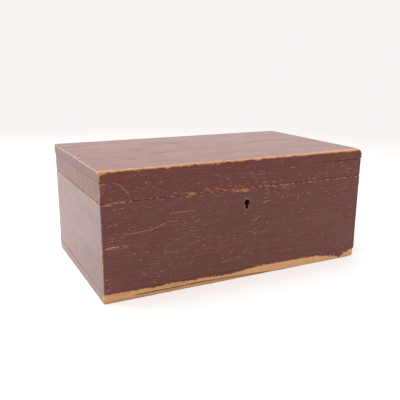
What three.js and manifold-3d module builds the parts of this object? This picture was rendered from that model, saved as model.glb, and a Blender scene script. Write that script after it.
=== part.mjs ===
// A painted tea caddy: a mitred six-board box with a hinged, locking lid. Inside are a centre well and
// two tea compartments, lined with foil and closed by loose inner lids that rest on ledge strips.
// Millimetres, +Z up, front towards -Y, origin under the middle of the closed box.
import * as THREE from "three";
import { mergeVertices } from "three/addons/utils/BufferGeometryUtils.js";
import Module from "manifold-3d";

const wasm = await Module();
wasm.setup();

// ---------------------------------------------------------------- driving dimensions

const WIDTH = 303.4; // over the side boards
const DEPTH = 178;
const BODY_HEIGHT = 97; // floor to rim
const LID_HEIGHT = 29.6;
const LID_GAP = 0.4; // between the rim and the closed lid
const BOARD = 10; // thickness of the four walls and of the lid rails
const BOTTOM = 9.5; // thickness of the bottom board
const TOP = 10.5; // thickness of the lid's top board
const TOP_OVERHANG = 0.8; // the top board stands out past the rails at both ends
const GLUE_GAP = 0.1; // between two faces that are glued or nailed together
const MITRE_GAP = 0.3; // the mitres have opened a little with age
const FIT_GAP = 0.1; // around fasteners, plates and pins in the holes and recesses made for them

const COMPARTMENT = {
  wellWidth: 89, // clear width of the open middle
  partition: 7, // thickness of a partition
  partitionDrop: 3, // rim to the partition's top edge
  groove: 3, // depth of the grooves that hold the partitions
  seatDrop: 21, // rim to the top of the ledge strips
  ledge: 5, // a ledge strip is square in section
  foil: 0.6,
  foilGap: 0.3,
};

const INNER_LID = {
  thickness: 6,
  gap: 0.6, // all round, so that it lifts out
  fieldBevel: 5, // width of the sloped border
  fieldDrop: 2, // how far the border slopes down
};

const KNOB = { height: 12, head: 6, neck: 2.6, foot: 5, dowel: 2.5, sides: 24 };

const HINGE = {
  length: 38,
  leaf: 1.2,
  barrel: 2.2, // outer radius of the knuckles
  pin: 1, // radius
  knuckles: 5,
  knuckleGap: 0.3,
  turnGap: 0.3, // between the barrel and whatever it turns in
  proud: 0.1, // barrel's back to the box's back face
  endGap: 35, // end of the box to the end of the hinge
  leafInset: 0.8, // leaf's front edge to the wall's inner face
  screwInset: 7, // screw to the end of the leaf
  bevel: 50, // degrees: slope of the back edges that let the lid tip past upright, then stop it
  sides: 20,
};

const SCREW = { length: 9, shank: 0.9, tip: 2, head: 1.7, headDepth: 0.9, sunk: 0.1, slot: 0.5, sides: 12 };
const NAIL = { length: 22, shank: 0.8, tip: 2, head: 1.5, headDepth: 0.6, sunk: 0.2, sides: 8, endGap: 35 };

const LOCK = {
  x: 2, // the maker set it a little right of the middle
  plateWidth: 44,
  plateHeight: 30,
  plateDepth: 7.6, // of the selvedge, the part that lies in the rim
  sheet: 1.2,
  caseWidth: 34,
  caseDrop: 25.3, // rim to the bottom of the case
  caseDepth: 5.2,
  caseWall: 0.8,
  keyDrop: 15, // rim to the middle of the keyhole's round head
  keyHead: 3.1,
  keyNeck: 1.15, // half width of the slot where it leaves the head
  keyFoot: 1.7, // half width at the slot's bottom
  keySlot: 6.6, // head's middle to the slot's bottom
  drillPin: 1.1,
  drillPinLength: 4.8,
  screwInset: 2.9, // screws to the edge of the plate
};

const BOLT = {
  travel: 4.2,
  thickness: 2,
  barDrop: 6.5, // rim to the bar's top edge
  barHeight: 4,
  fingerDrop: 2.3, // rim to the top of a finger
  finger: 2, // height of a finger
  post: 2, // width of the post that carries a finger
  gap: 0.5, // a finger's tip to the staple when unlocked
  talon: 4, // width of the notch that the key turns in
  talonDepth: 1.6,
};

const STAPLE = { offset: 8, thickness: 1.6, height: 5.9, leg: 0.8, caseGap: 0.2, eyeGap: 0.3, slotGap: 0.5 };
const SPRING = { thickness: 0.5, width: 2, reach: 9, rise: 5.5, gap: 0.15, arcs: 8 };

// ---------------------------------------------------------------- sizes that follow from them

const RIM = BODY_HEIGHT;
const LID_FOOT = RIM + LID_GAP;
const LID_TOP = LID_FOOT + LID_HEIGHT;
const TOP_UNDERSIDE = LID_TOP - TOP;
const HALF_WIDTH = WIDTH / 2;
const HALF_DEPTH = DEPTH / 2;
const INNER_X = HALF_WIDTH - BOARD;
const INNER_Y = HALF_DEPTH - BOARD;
const WALL_FOOT = BOTTOM + GLUE_GAP;
const SEAT = RIM - COMPARTMENT.seatDrop;
const PARTITION_X = (COMPARTMENT.wellWidth + COMPARTMENT.partition) / 2;
const HINGE_Y = HALF_DEPTH - HINGE.barrel - HINGE.proud;
const HINGE_Z = RIM + LID_GAP / 2;
const HINGE_X = HALF_WIDTH - HINGE.endGap - HINGE.length / 2;
const LEAF_FRONT = INNER_Y + HINGE.leafInset;
const LEAF_BACK = HINGE_Y - HINGE.barrel - HINGE.turnGap; // where a leaf stops between its own knuckles
const KEY_Z = RIM - LOCK.keyDrop;
const PLATE_Y = -INNER_Y - LOCK.sheet; // the lock plate's hidden face
const SELVEDGE_Y = -INNER_Y - LOCK.plateDepth;
const CASE_BACK = PLATE_Y - FIT_GAP;
const CASE_FRONT = CASE_BACK - LOCK.caseDepth;
const BOLT_Y = (CASE_BACK + CASE_FRONT + LOCK.caseWall) / 2; // middle of the space inside the case
const STAPLE_DEPTH = LOCK.caseDepth - LOCK.caseWall - 2 * STAPLE.caseGap; // it hangs in that space
const FAR = 400; // longer than any piece, for cutters

// ---------------------------------------------------------------- materials

const material = (color, roughness, metalness = 0) =>
  new THREE.MeshStandardMaterial({ color, roughness, metalness });
const PAINT = material(0x6e4742, 0.45);
const PINE = material(0xb98a58, 0.7);
const BRASS = material(0x9a7a3e, 0.4, 1);
const IRON = material(0x4a443f, 0.55, 1);
const FOIL = material(0x8f8f8c, 0.45, 1);
const TURNED = material(0x2e1f18, 0.35);

// ---------------------------------------------------------------- solids

/** A closed geometry as a solid that can be cut and joined. */
function solid(geometry) {
  const bare = geometry.index ? geometry.toNonIndexed() : geometry;
  bare.deleteAttribute("normal");
  bare.deleteAttribute("uv");
  const merged = mergeVertices(bare);
  const vertProperties = merged.attributes.position.array;
  const triVerts = new Uint32Array(merged.index.array);
  return new wasm.Manifold(new wasm.Mesh({ numProp: 3, vertProperties, triVerts }));
}

/** A block between two values on each axis. */
function block([x0, x1], [y0, y1], [z0, z1]) {
  const geometry = new THREE.BoxGeometry(x1 - x0, y1 - y0, z1 - z0);
  return solid(geometry.translate((x0 + x1) / 2, (y0 + y1) / 2, (z0 + z1) / 2));
}

const span = (middle, half) => [middle - half, middle + half];
const polygon = (points) => new THREE.Shape(points.map(([a, b]) => new THREE.Vector2(a, b)));
const extruded = (shape, depth, curveSegments = 12) =>
  new THREE.ExtrudeGeometry(shape, { depth, bevelEnabled: false, curveSegments });

/** A plan outline (x, y) raised from z0 to z1. */
const raised = (points, z0, z1) => solid(extruded(polygon(points), z1 - z0).translate(0, 0, z0));

/** A section (y, z) carried along X from x0 to x1. */
function along(shape, x0, x1) {
  const turn = new THREE.Matrix4().makeBasis(
    new THREE.Vector3(0, 1, 0),
    new THREE.Vector3(0, 0, 1),
    new THREE.Vector3(1, 0, 0),
  );
  return solid(extruded(shape, x1 - x0).applyMatrix4(turn).translate(x0, 0, 0));
}

/** An elevation (x, z) carried along Y from y0 to y1. */
function across(shape, y0, y1, curveSegments) {
  const geometry = extruded(shape, y1 - y0, curveSegments).rotateX(Math.PI / 2);
  return solid(geometry.translate(0, y1, 0));
}

/** A round piece turned about Z from its profile of [radius, z], bottom first. */
function turned(profile, sides) {
  const points = profile.map(([r, z]) => new THREE.Vector2(r, z));
  return solid(new THREE.LatheGeometry(points, sides).rotateX(Math.PI / 2));
}

/** A cylinder along X. */
function rodX(radius, x0, x1, y, z, sides) {
  const geometry = new THREE.CylinderGeometry(radius, radius, x1 - x0, sides).rotateZ(Math.PI / 2);
  return solid(geometry.translate((x0 + x1) / 2, y, z));
}

/** A solid made at the origin facing +Z, moved to a place and turned to face a direction. */
function facing(made, [x, y, z], direction) {
  const turn = new THREE.Quaternion().setFromUnitVectors(
    new THREE.Vector3(0, 0, 1),
    new THREE.Vector3(...direction),
  );
  const matrix = new THREE.Matrix4().makeRotationFromQuaternion(turn).setPosition(x, y, z);
  return made.transform(matrix.elements);
}

const cut = (from, cutters) => cutters.reduce((left, cutter) => left.subtract(cutter), from);
const join = (pieces) => pieces.reduce((all, piece) => all.add(piece));

const UP = [0, 0, 1];
const DOWN = [0, 0, -1];
const BACK = [0, 1, 0];
const ENDS = [["left", -1], ["right", 1]];

// ---------------------------------------------------------------- fasteners

/** A countersunk wood screw, or with a gap the hole that it needs. Its head is at z = 0. */
function screwSolid(gap = 0) {
  const foot = -SCREW.length - gap;
  const neck = -SCREW.headDepth;
  const shaft = [[0, foot], [SCREW.shank / 2 + gap, foot], [SCREW.shank + gap, foot + SCREW.tip]];
  const head = [[SCREW.shank + gap, neck], [SCREW.head + gap, 0]];
  if (gap > 0) return turned([...shaft, ...head, [SCREW.head + gap, 1], [0, 1]], SCREW.sides);
  const slot = block(span(0, SCREW.head * 2), span(0, SCREW.slot / 2), [-SCREW.slot, 1]);
  return turned([...shaft, ...head, [0, 0]], SCREW.sides).subtract(slot);
}

/** A nail with a small flat head, or with a gap the hole that it needs. Its head is at z = 0. */
function nailSolid(gap = 0) {
  const foot = -NAIL.length - gap;
  const neck = -NAIL.headDepth - gap;
  const shaft = [[0, foot], [NAIL.shank / 2 + gap, foot], [NAIL.shank + gap, foot + NAIL.tip]];
  const head = [[NAIL.shank + gap, neck], [NAIL.head + gap, neck]];
  const crown = gap > 0 ? 1 : 0;
  return turned([...shaft, ...head, [NAIL.head + gap, crown], [0, crown]], NAIL.sides);
}

/** Fasteners of one kind: where each one sits on the surface that it enters, and the way it faces. */
function fasteners(make, sunk, places) {
  return places.map(({ name, at, faces }) => {
    const seat = at.map((value, i) => value - faces[i] * sunk);
    return { name, seat, body: facing(make(), seat, faces), hole: facing(make(FIT_GAP), seat, faces) };
  });
}

const holes = (set) => set.map(({ hole }) => hole);

const hingeScrewPlaces = (prefix, z, faces) =>
  ENDS.flatMap(([side, sign]) =>
    [["outer", 1], ["inner", -1]].map(([end, out]) => ({
      name: `${prefix}_${side}_${end}_screw`,
      at: [sign * (HINGE_X + out * (HINGE.length / 2 - HINGE.screwInset)), (LEAF_FRONT + LEAF_BACK) / 2, z],
      faces,
    })),
  );

const boxHingeScrews = fasteners(screwSolid, SCREW.sunk, hingeScrewPlaces("box_hinge", RIM, UP));
const lidHingeScrews = fasteners(screwSolid, SCREW.sunk, hingeScrewPlaces("lid_hinge", LID_FOOT, DOWN));

const plateScrewPlaces = (prefix, y, z, faces) =>
  ENDS.map(([side, sign]) => ({
    name: `${prefix}_${side}_screw`,
    at: [LOCK.x + sign * (LOCK.plateWidth / 2 - LOCK.screwInset), y, z],
    faces,
  }));

const SELVEDGE_MIDDLE = (SELVEDGE_Y - INNER_Y) / 2;
const lockScrews = [
  ...fasteners(screwSolid, SCREW.sunk, plateScrewPlaces("lock_selvedge", SELVEDGE_MIDDLE, RIM, UP)),
  ...fasteners(
    (gap) => screwSolid(gap).scale([1, 1, 0.75]), // shorter, because they enter the thin way of the board
    SCREW.sunk,
    plateScrewPlaces("lock_plate", -INNER_Y, RIM - LOCK.plateHeight + LOCK.screwInset, BACK),
  ),
];
const hookPlateScrews = fasteners(
  screwSolid,
  SCREW.sunk,
  plateScrewPlaces("hook_plate", SELVEDGE_MIDDLE, LID_FOOT, DOWN),
);

const spread = (length) => [-1, 0, 1].map((step) => step * (length / 2 - NAIL.endGap));
const topNails = fasteners(
  nailSolid,
  NAIL.sunk,
  ENDS.flatMap(([side, sign]) =>
    spread(DEPTH).map((y, i) => ({
      name: `top_nail_${side}_${i + 1}`,
      at: [sign * (HALF_WIDTH - BOARD / 2), y, LID_TOP],
      faces: UP,
    })),
  ),
);
const bottomNails = fasteners(
  nailSolid,
  NAIL.sunk,
  [["front", -1], ["back", 1]].flatMap(([side, sign]) =>
    spread(WIDTH).map((x, i) => ({
      name: `bottom_nail_${side}_${i + 1}`,
      at: [x, sign * (HALF_DEPTH - BOARD / 2), 0],
      faces: DOWN,
    })),
  ),
);

// ---------------------------------------------------------------- boards

/** A wall or rail with mitred ends: the front one, or any other turned round into its place. */
function mitred(quarterTurns, z0, z1) {
  const [half, face] = quarterTurns % 2 ? [HALF_DEPTH, HALF_WIDTH] : [HALF_WIDTH, HALF_DEPTH];
  const ease = (MITRE_GAP / 2) * Math.SQRT2; // how much shorter a mitre's gap makes each long edge
  const outline = [
    [-half + ease, -face],
    [half - ease, -face],
    [half - ease - BOARD, -face + BOARD],
    [-half + ease + BOARD, -face + BOARD],
  ];
  return raised(outline, z0, z1).rotate([0, 0, quarterTurns * 90]);
}

/** The two bevels along the back edge, which meet on the hinge axis and stop the open lid. */
function hingeBevel() {
  const depth = BOARD;
  const rise = depth * Math.tan(THREE.MathUtils.degToRad(HINGE.bevel));
  const section = polygon([
    [HINGE_Y, HINGE_Z],
    [HINGE_Y + depth, HINGE_Z - rise],
    [HINGE_Y + depth, HINGE_Z + rise],
  ]);
  return along(section, -FAR, FAR);
}

/** Room for both hinges in a wall or rail with its edge at z; into is 1 if its wood is above that, or -1. */
function hingeRoom(z, into) {
  const half = HINGE.length / 2 + FIT_GAP;
  return ENDS.flatMap(([, sign]) => {
    const x = sign * HINGE_X;
    const leaf = [z + into * (HINGE.leaf + FIT_GAP), z - into * LID_GAP].sort((a, b) => a - b);
    return [
      block(span(x, half), [LEAF_FRONT - FIT_GAP, HINGE_Y], leaf),
      rodX(HINGE.barrel + HINGE.turnGap, x - half, x + half, HINGE_Y, HINGE_Z, HINGE.sides),
    ];
  });
}

const KEYHOLE_ARCS = 20;

/** The keyhole: a round head over a slot that widens downwards. */
function keyhole() {
  const neck = Math.asin(LOCK.keyNeck / LOCK.keyHead);
  const bottom = KEY_Z - LOCK.keySlot;
  const shape = new THREE.Shape();
  shape.moveTo(LOCK.x - LOCK.keyFoot, bottom);
  shape.lineTo(LOCK.x + LOCK.keyFoot, bottom);
  shape.absarc(LOCK.x, KEY_Z, LOCK.keyHead, neck - Math.PI / 2, (3 * Math.PI) / 2 - neck, false);
  shape.closePath();
  return across(shape, -FAR, -INNER_Y, KEYHOLE_ARCS);
}

const RAIL_TOP = TOP_UNDERSIDE - GLUE_GAP;

/** Grooves in the front and back walls that hold the partitions' ends. */
const partitionGrooves = ENDS.map(([, sign]) =>
  block(
    span(sign * PARTITION_X, COMPARTMENT.partition / 2 + FIT_GAP),
    span(0, INNER_Y + COMPARTMENT.groove),
    [0, RIM + 1],
  ),
);

/** Room in the front wall for the lock: its plate, its selvedge, its case and the keyhole. */
function lockRoom() {
  const plate = span(LOCK.x, LOCK.plateWidth / 2 + FIT_GAP);
  return [
    block(plate, [PLATE_Y - FIT_GAP, -INNER_Y + 1], [RIM - LOCK.plateHeight - FIT_GAP, RIM + 1]),
    block(plate, [SELVEDGE_Y - FIT_GAP, -INNER_Y + 1], [RIM - LOCK.sheet - FIT_GAP, RIM + 1]),
    block(
      span(LOCK.x, LOCK.caseWidth / 2 + 2 * FIT_GAP),
      [CASE_FRONT - 2 * FIT_GAP, -INNER_Y + 1],
      [RIM - LOCK.caseDrop - 2 * FIT_GAP, RIM + 1],
    ),
    keyhole(),
  ];
}

function frontBoard() {
  return cut(mitred(0, WALL_FOOT, RIM), [
    ...partitionGrooves,
    ...lockRoom(),
    ...holes(lockScrews),
    ...holes(bottomNails),
  ]);
}

function backBoard() {
  return cut(mitred(2, WALL_FOOT, RIM), [
    ...partitionGrooves,
    hingeBevel(),
    ...hingeRoom(RIM, -1),
    ...holes(boxHingeScrews),
    ...holes(bottomNails),
  ]);
}

const sideBoard = (quarterTurns) => mitred(quarterTurns, WALL_FOOT, RIM).subtract(hingeBevel());

function bottomBoard() {
  return cut(block(span(0, HALF_WIDTH), span(0, HALF_DEPTH), [0, BOTTOM]), holes(bottomNails));
}

function lidFrontRail() {
  const plate = span(LOCK.x, LOCK.plateWidth / 2 + FIT_GAP);
  return cut(mitred(0, LID_FOOT, RAIL_TOP), [
    block(plate, [SELVEDGE_Y - FIT_GAP, -INNER_Y + 1], [LID_FOOT - 1, LID_FOOT + LOCK.sheet + FIT_GAP]),
    ...holes(hookPlateScrews),
  ]);
}

function lidBackRail() {
  return cut(mitred(2, LID_FOOT, RAIL_TOP), [
    hingeBevel(),
    ...hingeRoom(LID_FOOT, 1),
    ...holes(lidHingeScrews),
  ]);
}

const lidSideRail = (quarterTurns) =>
  cut(mitred(quarterTurns, LID_FOOT, RAIL_TOP), [hingeBevel(), ...holes(topNails)]);

function lidTopBoard() {
  const plank = block(span(0, HALF_WIDTH + TOP_OVERHANG), span(0, HALF_DEPTH), [TOP_UNDERSIDE, LID_TOP]);
  return cut(plank, holes(topNails));
}

// ---------------------------------------------------------------- inside fittings

/** Clear X range of a tea compartment, between the side wall and the partition. */
function compartmentX(sign) {
  const wall = sign * INNER_X;
  const partition = sign * (PARTITION_X + COMPARTMENT.partition / 2);
  return [Math.min(wall, partition), Math.max(wall, partition)];
}

const shrink = ([low, high], gap) => [low + gap, high - gap];

function partition(sign) {
  return block(
    span(sign * PARTITION_X, COMPARTMENT.partition / 2),
    span(0, INNER_Y + COMPARTMENT.groove - FIT_GAP),
    [WALL_FOOT, RIM - COMPARTMENT.partitionDrop],
  );
}

/** A strip glued to the front (-1) or back (1) wall, under the edge of an inner lid. */
function ledge(sign, wall) {
  const y = [wall * (INNER_Y - GLUE_GAP), wall * (INNER_Y - COMPARTMENT.ledge)].sort((a, b) => a - b);
  return block(shrink(compartmentX(sign), GLUE_GAP), y, [SEAT - COMPARTMENT.ledge, SEAT]);
}

/** An open-topped foil box, from the compartment's floor up to the ledge strips. */
function foilLining(sign) {
  const { foil, foilGap, ledge } = COMPARTMENT;
  const x = shrink(compartmentX(sign), foilGap);
  const y = span(0, INNER_Y - foilGap);
  const floor = BOTTOM + foilGap;
  const outer = block(x, y, [floor, SEAT - ledge - foilGap]);
  return outer.subtract(block(shrink(x, foil), shrink(y, foil), [floor + foil, RIM]));
}

/** A thin board with a sloped border round a raised field, bored for its knob's dowel. */
function innerLid(sign) {
  const x = shrink(compartmentX(sign), INNER_LID.gap);
  const y = span(0, INNER_Y - INNER_LID.gap);
  const foot = SEAT + GLUE_GAP;
  const crown = foot + INNER_LID.thickness;
  const shoulder = crown - INNER_LID.fieldDrop;
  const fielded = ([low, high]) =>
    polygon([
      [low, foot],
      [high, foot],
      [high, shoulder],
      [high - INNER_LID.fieldBevel, crown],
      [low + INNER_LID.fieldBevel, crown],
      [low, shoulder],
    ]);
  const bore = turned([[0, 0], [KNOB.dowel + FIT_GAP, 0], [KNOB.dowel + FIT_GAP, FAR], [0, FAR]], KNOB.sides);
  return across(fielded(x), ...y)
    .intersect(along(fielded(y), ...x))
    .subtract(bore.translate([(x[0] + x[1]) / 2, 0, 0]));
}

/** A turned knob: foot, neck, round head, and a dowel that goes down through the inner lid. */
function knob(sign) {
  const { height, head, neck, foot, dowel, sides } = KNOB;
  const drop = INNER_LID.thickness - FIT_GAP;
  const headMiddle = height - head * 0.62;
  const steps = [-50, -25, 0, 25, 50, 75].map((degrees) => THREE.MathUtils.degToRad(degrees));
  const ball = steps.map((a) => [head * Math.cos(a), headMiddle + head * 0.62 * Math.sin(a)]);
  const profile = [
    [0, -drop],
    [dowel, -drop],
    [dowel, FIT_GAP],
    [foot, FIT_GAP],
    [foot, 1],
    [foot * 0.8, 1.8],
    [neck, 2.8],
    [neck, 3.6],
    ...ball,
    [0, height],
  ];
  const [low, high] = compartmentX(sign);
  return turned(profile, sides).translate([(low + high) / 2, 0, SEAT + GLUE_GAP + INNER_LID.thickness]);
}

// ---------------------------------------------------------------- hinges

/** A hinge leaf with its knuckles: the box's (outer and middle knuckles) or the lid's (those between). */
function hingeLeaf(sign, edge, into, odd, screwHoles) {
  const x = sign * HINGE_X;
  const pitch = HINGE.length / HINGE.knuckles;
  const plate = [edge, edge + into * HINGE.leaf].sort((a, b) => a - b);
  const knuckleSpans = Array.from({ length: HINGE.knuckles }, (_, i) => {
    const start = x - HINGE.length / 2 + i * pitch;
    const trimmed = [start + (i ? HINGE.knuckleGap / 2 : 0), start + pitch - HINGE.knuckleGap / 2];
    return i === HINGE.knuckles - 1 ? [trimmed[0], start + pitch] : trimmed;
  }).filter((_, i) => i % 2 === odd);
  const flat = block(span(x, HINGE.length / 2), [LEAF_FRONT, LEAF_BACK], plate);
  const tongues = knuckleSpans.map((range) => block(range, [LEAF_FRONT, HINGE_Y - HINGE.pin * 1.6], plate));
  const rounds = knuckleSpans.map(([x0, x1]) => rodX(HINGE.barrel, x0, x1, HINGE_Y, HINGE_Z, HINGE.sides));
  const bore = rodX(HINGE.pin + FIT_GAP, -FAR, FAR, HINGE_Y, HINGE_Z, HINGE.sides);
  return cut(join([flat, ...tongues, ...rounds]), [bore, ...screwHoles]);
}

const hingePin = (sign) => {
  const half = HINGE.length / 2;
  return rodX(HINGE.pin, sign * HINGE_X - half, sign * HINGE_X + half, HINGE_Y, HINGE_Z, HINGE.sides);
};

// ---------------------------------------------------------------- lock

/** The two staples' extents along X, grown by a gap where they are slots. */
const stapleSpans = (gap) =>
  ENDS.map(([, sign]) => span(LOCK.x + sign * STAPLE.offset, STAPLE.thickness / 2 + gap));

function lockPlate() {
  const width = span(LOCK.x, LOCK.plateWidth / 2);
  const back = block(width, [PLATE_Y, -INNER_Y], [RIM - LOCK.plateHeight, RIM]);
  const selvedge = block(width, [SELVEDGE_Y, -INNER_Y], [RIM - LOCK.sheet, RIM]);
  const slotY = [BOLT_Y - STAPLE_DEPTH / 2 - STAPLE.slotGap, PLATE_Y];
  const slots = stapleSpans(STAPLE.slotGap).map((x) => block(x, slotY, [RIM - 2 * LOCK.sheet, RIM + 1]));
  return cut(back.add(selvedge), [...slots, ...holes(lockScrews)]);
}

function lockCase() {
  const x = span(LOCK.x, LOCK.caseWidth / 2);
  const foot = RIM - LOCK.caseDrop;
  const outer = block(x, [CASE_FRONT, CASE_BACK], [foot, RIM - LOCK.sheet - FIT_GAP]);
  const wall = LOCK.caseWall;
  const hollow = block(shrink(x, wall), [CASE_FRONT + wall, 0], [foot + wall, RIM + 1]);
  return cut(outer, [hollow, keyhole()]);
}

/** The pin that a hollow key turns on, riveted to the plate behind the keyhole. */
function drillPin() {
  const round = turned(
    [
      [0, 0],
      [LOCK.drillPin, 0],
      [LOCK.drillPin, LOCK.drillPinLength - LOCK.drillPin / 2],
      [LOCK.drillPin / 2, LOCK.drillPinLength],
      [0, LOCK.drillPinLength],
    ],
    SCREW.sides,
  );
  return facing(round, [LOCK.x, PLATE_Y - FIT_GAP, KEY_Z], [0, -1, 0]);
}

/** The bolt, unlocked: a bar with a notch for the key and two fingers that slide into the staples. */
function lockBolt() {
  const y = span(BOLT_Y, BOLT.thickness / 2);
  const barTop = RIM - BOLT.barDrop;
  const fingerTop = RIM - BOLT.fingerDrop;
  const hooks = ENDS.flatMap(([, sign]) => {
    const tip = LOCK.x + sign * STAPLE.offset - STAPLE.thickness / 2 - BOLT.gap;
    const root = tip - BOLT.travel;
    return [
      block([root - BOLT.post, root], y, [barTop - BOLT.barHeight / 2, fingerTop]),
      block([root - BOLT.post / 2, tip], y, [fingerTop - BOLT.finger, fingerTop]),
    ];
  });
  const inner = LOCK.caseWidth / 2 - LOCK.caseWall;
  const leftPost = -STAPLE.offset - STAPLE.thickness / 2 - BOLT.gap - BOLT.travel - BOLT.post;
  const right = inner - BOLT.travel - BOLT.gap;
  const barFoot = barTop - BOLT.barHeight;
  const bar = block([LOCK.x + leftPost, LOCK.x + right], y, [barFoot, barTop]);
  const talon = block(span(LOCK.x, BOLT.talon / 2), [-FAR, 0], [0, barFoot + BOLT.talonDepth]);
  return join([bar, ...hooks]).subtract(talon);
}

/** A bent leaf spring that presses up under the bolt's bar, left of the key. */
function lockSpring() {
  const x0 = LOCK.x - LOCK.caseWidth / 2 + LOCK.caseWall + FIT_GAP;
  const top = RIM - BOLT.barDrop - BOLT.barHeight - SPRING.gap;
  const curve = (lift) =>
    Array.from({ length: SPRING.arcs + 1 }, (_, i) => {
      const share = i / SPRING.arcs;
      return [x0 + SPRING.reach * share, top - SPRING.thickness - SPRING.rise * (1 - share) ** 2 + lift];
    });
  const section = polygon([...curve(0), ...curve(SPRING.thickness).reverse()]);
  return across(section, ...span(BOLT_Y, SPRING.width / 2));
}

/** The lid's half of the lock: a plate let into the rail, with two eyed staples hanging from it. */
function hookPlate() {
  const plate = block(
    span(LOCK.x, LOCK.plateWidth / 2),
    [SELVEDGE_Y, -INNER_Y],
    [LID_FOOT, LID_FOOT + LOCK.sheet],
  );
  const foot = RIM - STAPLE.height;
  const fingerTop = RIM - BOLT.fingerDrop;
  const eye = block(
    [-FAR, FAR],
    span(BOLT_Y, STAPLE_DEPTH / 2 - STAPLE.leg),
    [fingerTop - BOLT.finger - STAPLE.eyeGap, fingerTop + STAPLE.eyeGap],
  );
  const y = span(BOLT_Y, STAPLE_DEPTH / 2);
  const staples = stapleSpans(0).map((x) => block(x, y, [foot, LID_FOOT + LOCK.sheet / 2]).subtract(eye));
  return cut(join([plate, ...staples]), holes(hookPlateScrews));
}

// ---------------------------------------------------------------- the assembly

/** Adds a piece to a group as a named mesh with an origin of its own, given in the part's frame. */
function add(group, name, made, look, origin) {
  const { numProp, vertProperties, triVerts } = made.translate(origin.map((v) => -v)).getMesh();
  const geometry = new THREE.BufferGeometry()
    .setAttribute("position", new THREE.BufferAttribute(vertProperties, numProp))
    .setIndex(new THREE.BufferAttribute(triVerts, 1));
  geometry.computeVertexNormals();
  const mesh = new THREE.Mesh(geometry, look);
  mesh.name = name;
  mesh.position.set(...origin).sub(group.position);
  group.add(mesh);
}

const addFasteners = (group, set, look) =>
  set.forEach(({ name, seat, body }) => add(group, name, body, look, seat));

const caddy = new THREE.Group();
caddy.name = "tea_caddy";

const box = new THREE.Group();
box.name = "box";
const wallMiddle = (WALL_FOOT + RIM) / 2;
add(box, "bottom_board", bottomBoard(), PAINT, [0, 0, 0]);
add(box, "front_board", frontBoard(), PAINT, [0, -HALF_DEPTH, wallMiddle]);
add(box, "right_side_board", sideBoard(1), PAINT, [HALF_WIDTH, 0, wallMiddle]);
add(box, "back_board", backBoard(), PAINT, [0, HALF_DEPTH, wallMiddle]);
add(box, "left_side_board", sideBoard(3), PAINT, [-HALF_WIDTH, 0, wallMiddle]);
for (const [side, sign] of ENDS) {
  const middle = sign * (INNER_X + PARTITION_X) / 2;
  add(box, `${side}_partition`, partition(sign), PINE, [sign * PARTITION_X, 0, WALL_FOOT]);
  add(box, `${side}_front_ledge`, ledge(sign, -1), PINE, [middle, -INNER_Y, SEAT]);
  add(box, `${side}_back_ledge`, ledge(sign, 1), PINE, [middle, INNER_Y, SEAT]);
  add(box, `${side}_foil_lining`, foilLining(sign), FOIL, [middle, 0, BOTTOM]);
  const origin = [sign * HINGE_X, HINGE_Y, HINGE_Z];
  add(box, `${side}_hinge_box_leaf`, hingeLeaf(sign, RIM, -1, 0, holes(boxHingeScrews)), BRASS, origin);
  add(box, `${side}_hinge_pin`, hingePin(sign), BRASS, origin);
}
addFasteners(box, boxHingeScrews, BRASS);
addFasteners(box, bottomNails, IRON);
add(box, "lock_plate", lockPlate(), BRASS, [LOCK.x, -INNER_Y, RIM]);
add(box, "lock_case", lockCase(), IRON, [LOCK.x, CASE_BACK, KEY_Z]);
add(box, "lock_spring", lockSpring(), IRON, [LOCK.x, BOLT_Y, KEY_Z]);
add(box, "lock_drill_pin", drillPin(), IRON, [LOCK.x, CASE_BACK, KEY_Z]);
addFasteners(box, lockScrews, BRASS);
caddy.add(box);

const bolt = new THREE.Group();
bolt.name = "bolt";
bolt.position.set(LOCK.x, BOLT_Y, RIM - BOLT.barDrop);
add(bolt, "lock_bolt", lockBolt(), IRON, [LOCK.x, BOLT_Y, RIM - BOLT.barDrop]);
caddy.add(bolt);

const lid = new THREE.Group();
lid.name = "lid";
lid.position.set(0, HINGE_Y, HINGE_Z); // the group turns about the hinge pins
const railMiddle = (LID_FOOT + RAIL_TOP) / 2;
add(lid, "lid_top_board", lidTopBoard(), PAINT, [0, 0, LID_TOP]);
add(lid, "lid_front_rail", lidFrontRail(), PAINT, [0, -HALF_DEPTH, railMiddle]);
add(lid, "lid_right_rail", lidSideRail(1), PAINT, [HALF_WIDTH, 0, railMiddle]);
add(lid, "lid_back_rail", lidBackRail(), PAINT, [0, HALF_DEPTH, railMiddle]);
add(lid, "lid_left_rail", lidSideRail(3), PAINT, [-HALF_WIDTH, 0, railMiddle]);
for (const [side, sign] of ENDS) {
  const origin = [sign * HINGE_X, HINGE_Y, HINGE_Z];
  add(lid, `${side}_hinge_lid_leaf`, hingeLeaf(sign, LID_FOOT, 1, 1, holes(lidHingeScrews)), BRASS, origin);
}
addFasteners(lid, lidHingeScrews, BRASS);
addFasteners(lid, topNails, IRON);
add(lid, "hook_plate", hookPlate(), BRASS, [LOCK.x, BOLT_Y, LID_FOOT]);
addFasteners(lid, hookPlateScrews, BRASS);
caddy.add(lid);

for (const [side, sign] of ENDS) {
  const loose = new THREE.Group();
  loose.name = `${side}_inner`;
  loose.position.set((sign * (INNER_X + PARTITION_X + COMPARTMENT.partition / 2)) / 2, 0, SEAT);
  const origin = loose.position.toArray();
  add(loose, `${side}_inner_lid`, innerLid(sign), PINE, origin);
  add(loose, `${side}_knob`, knob(sign), TURNED, origin);
  caddy.add(loose);
}

export default caddy;
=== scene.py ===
# A painted tea caddy: worn boards, brass hinges and lock, inner lids and foil linings round the packed frame.
import math
from types import SimpleNamespace

import bmesh
import bpy
import numpy as np
from bpy.props import FloatProperty, FloatVectorProperty, PointerProperty
from mathutils import Matrix, Vector


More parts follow.
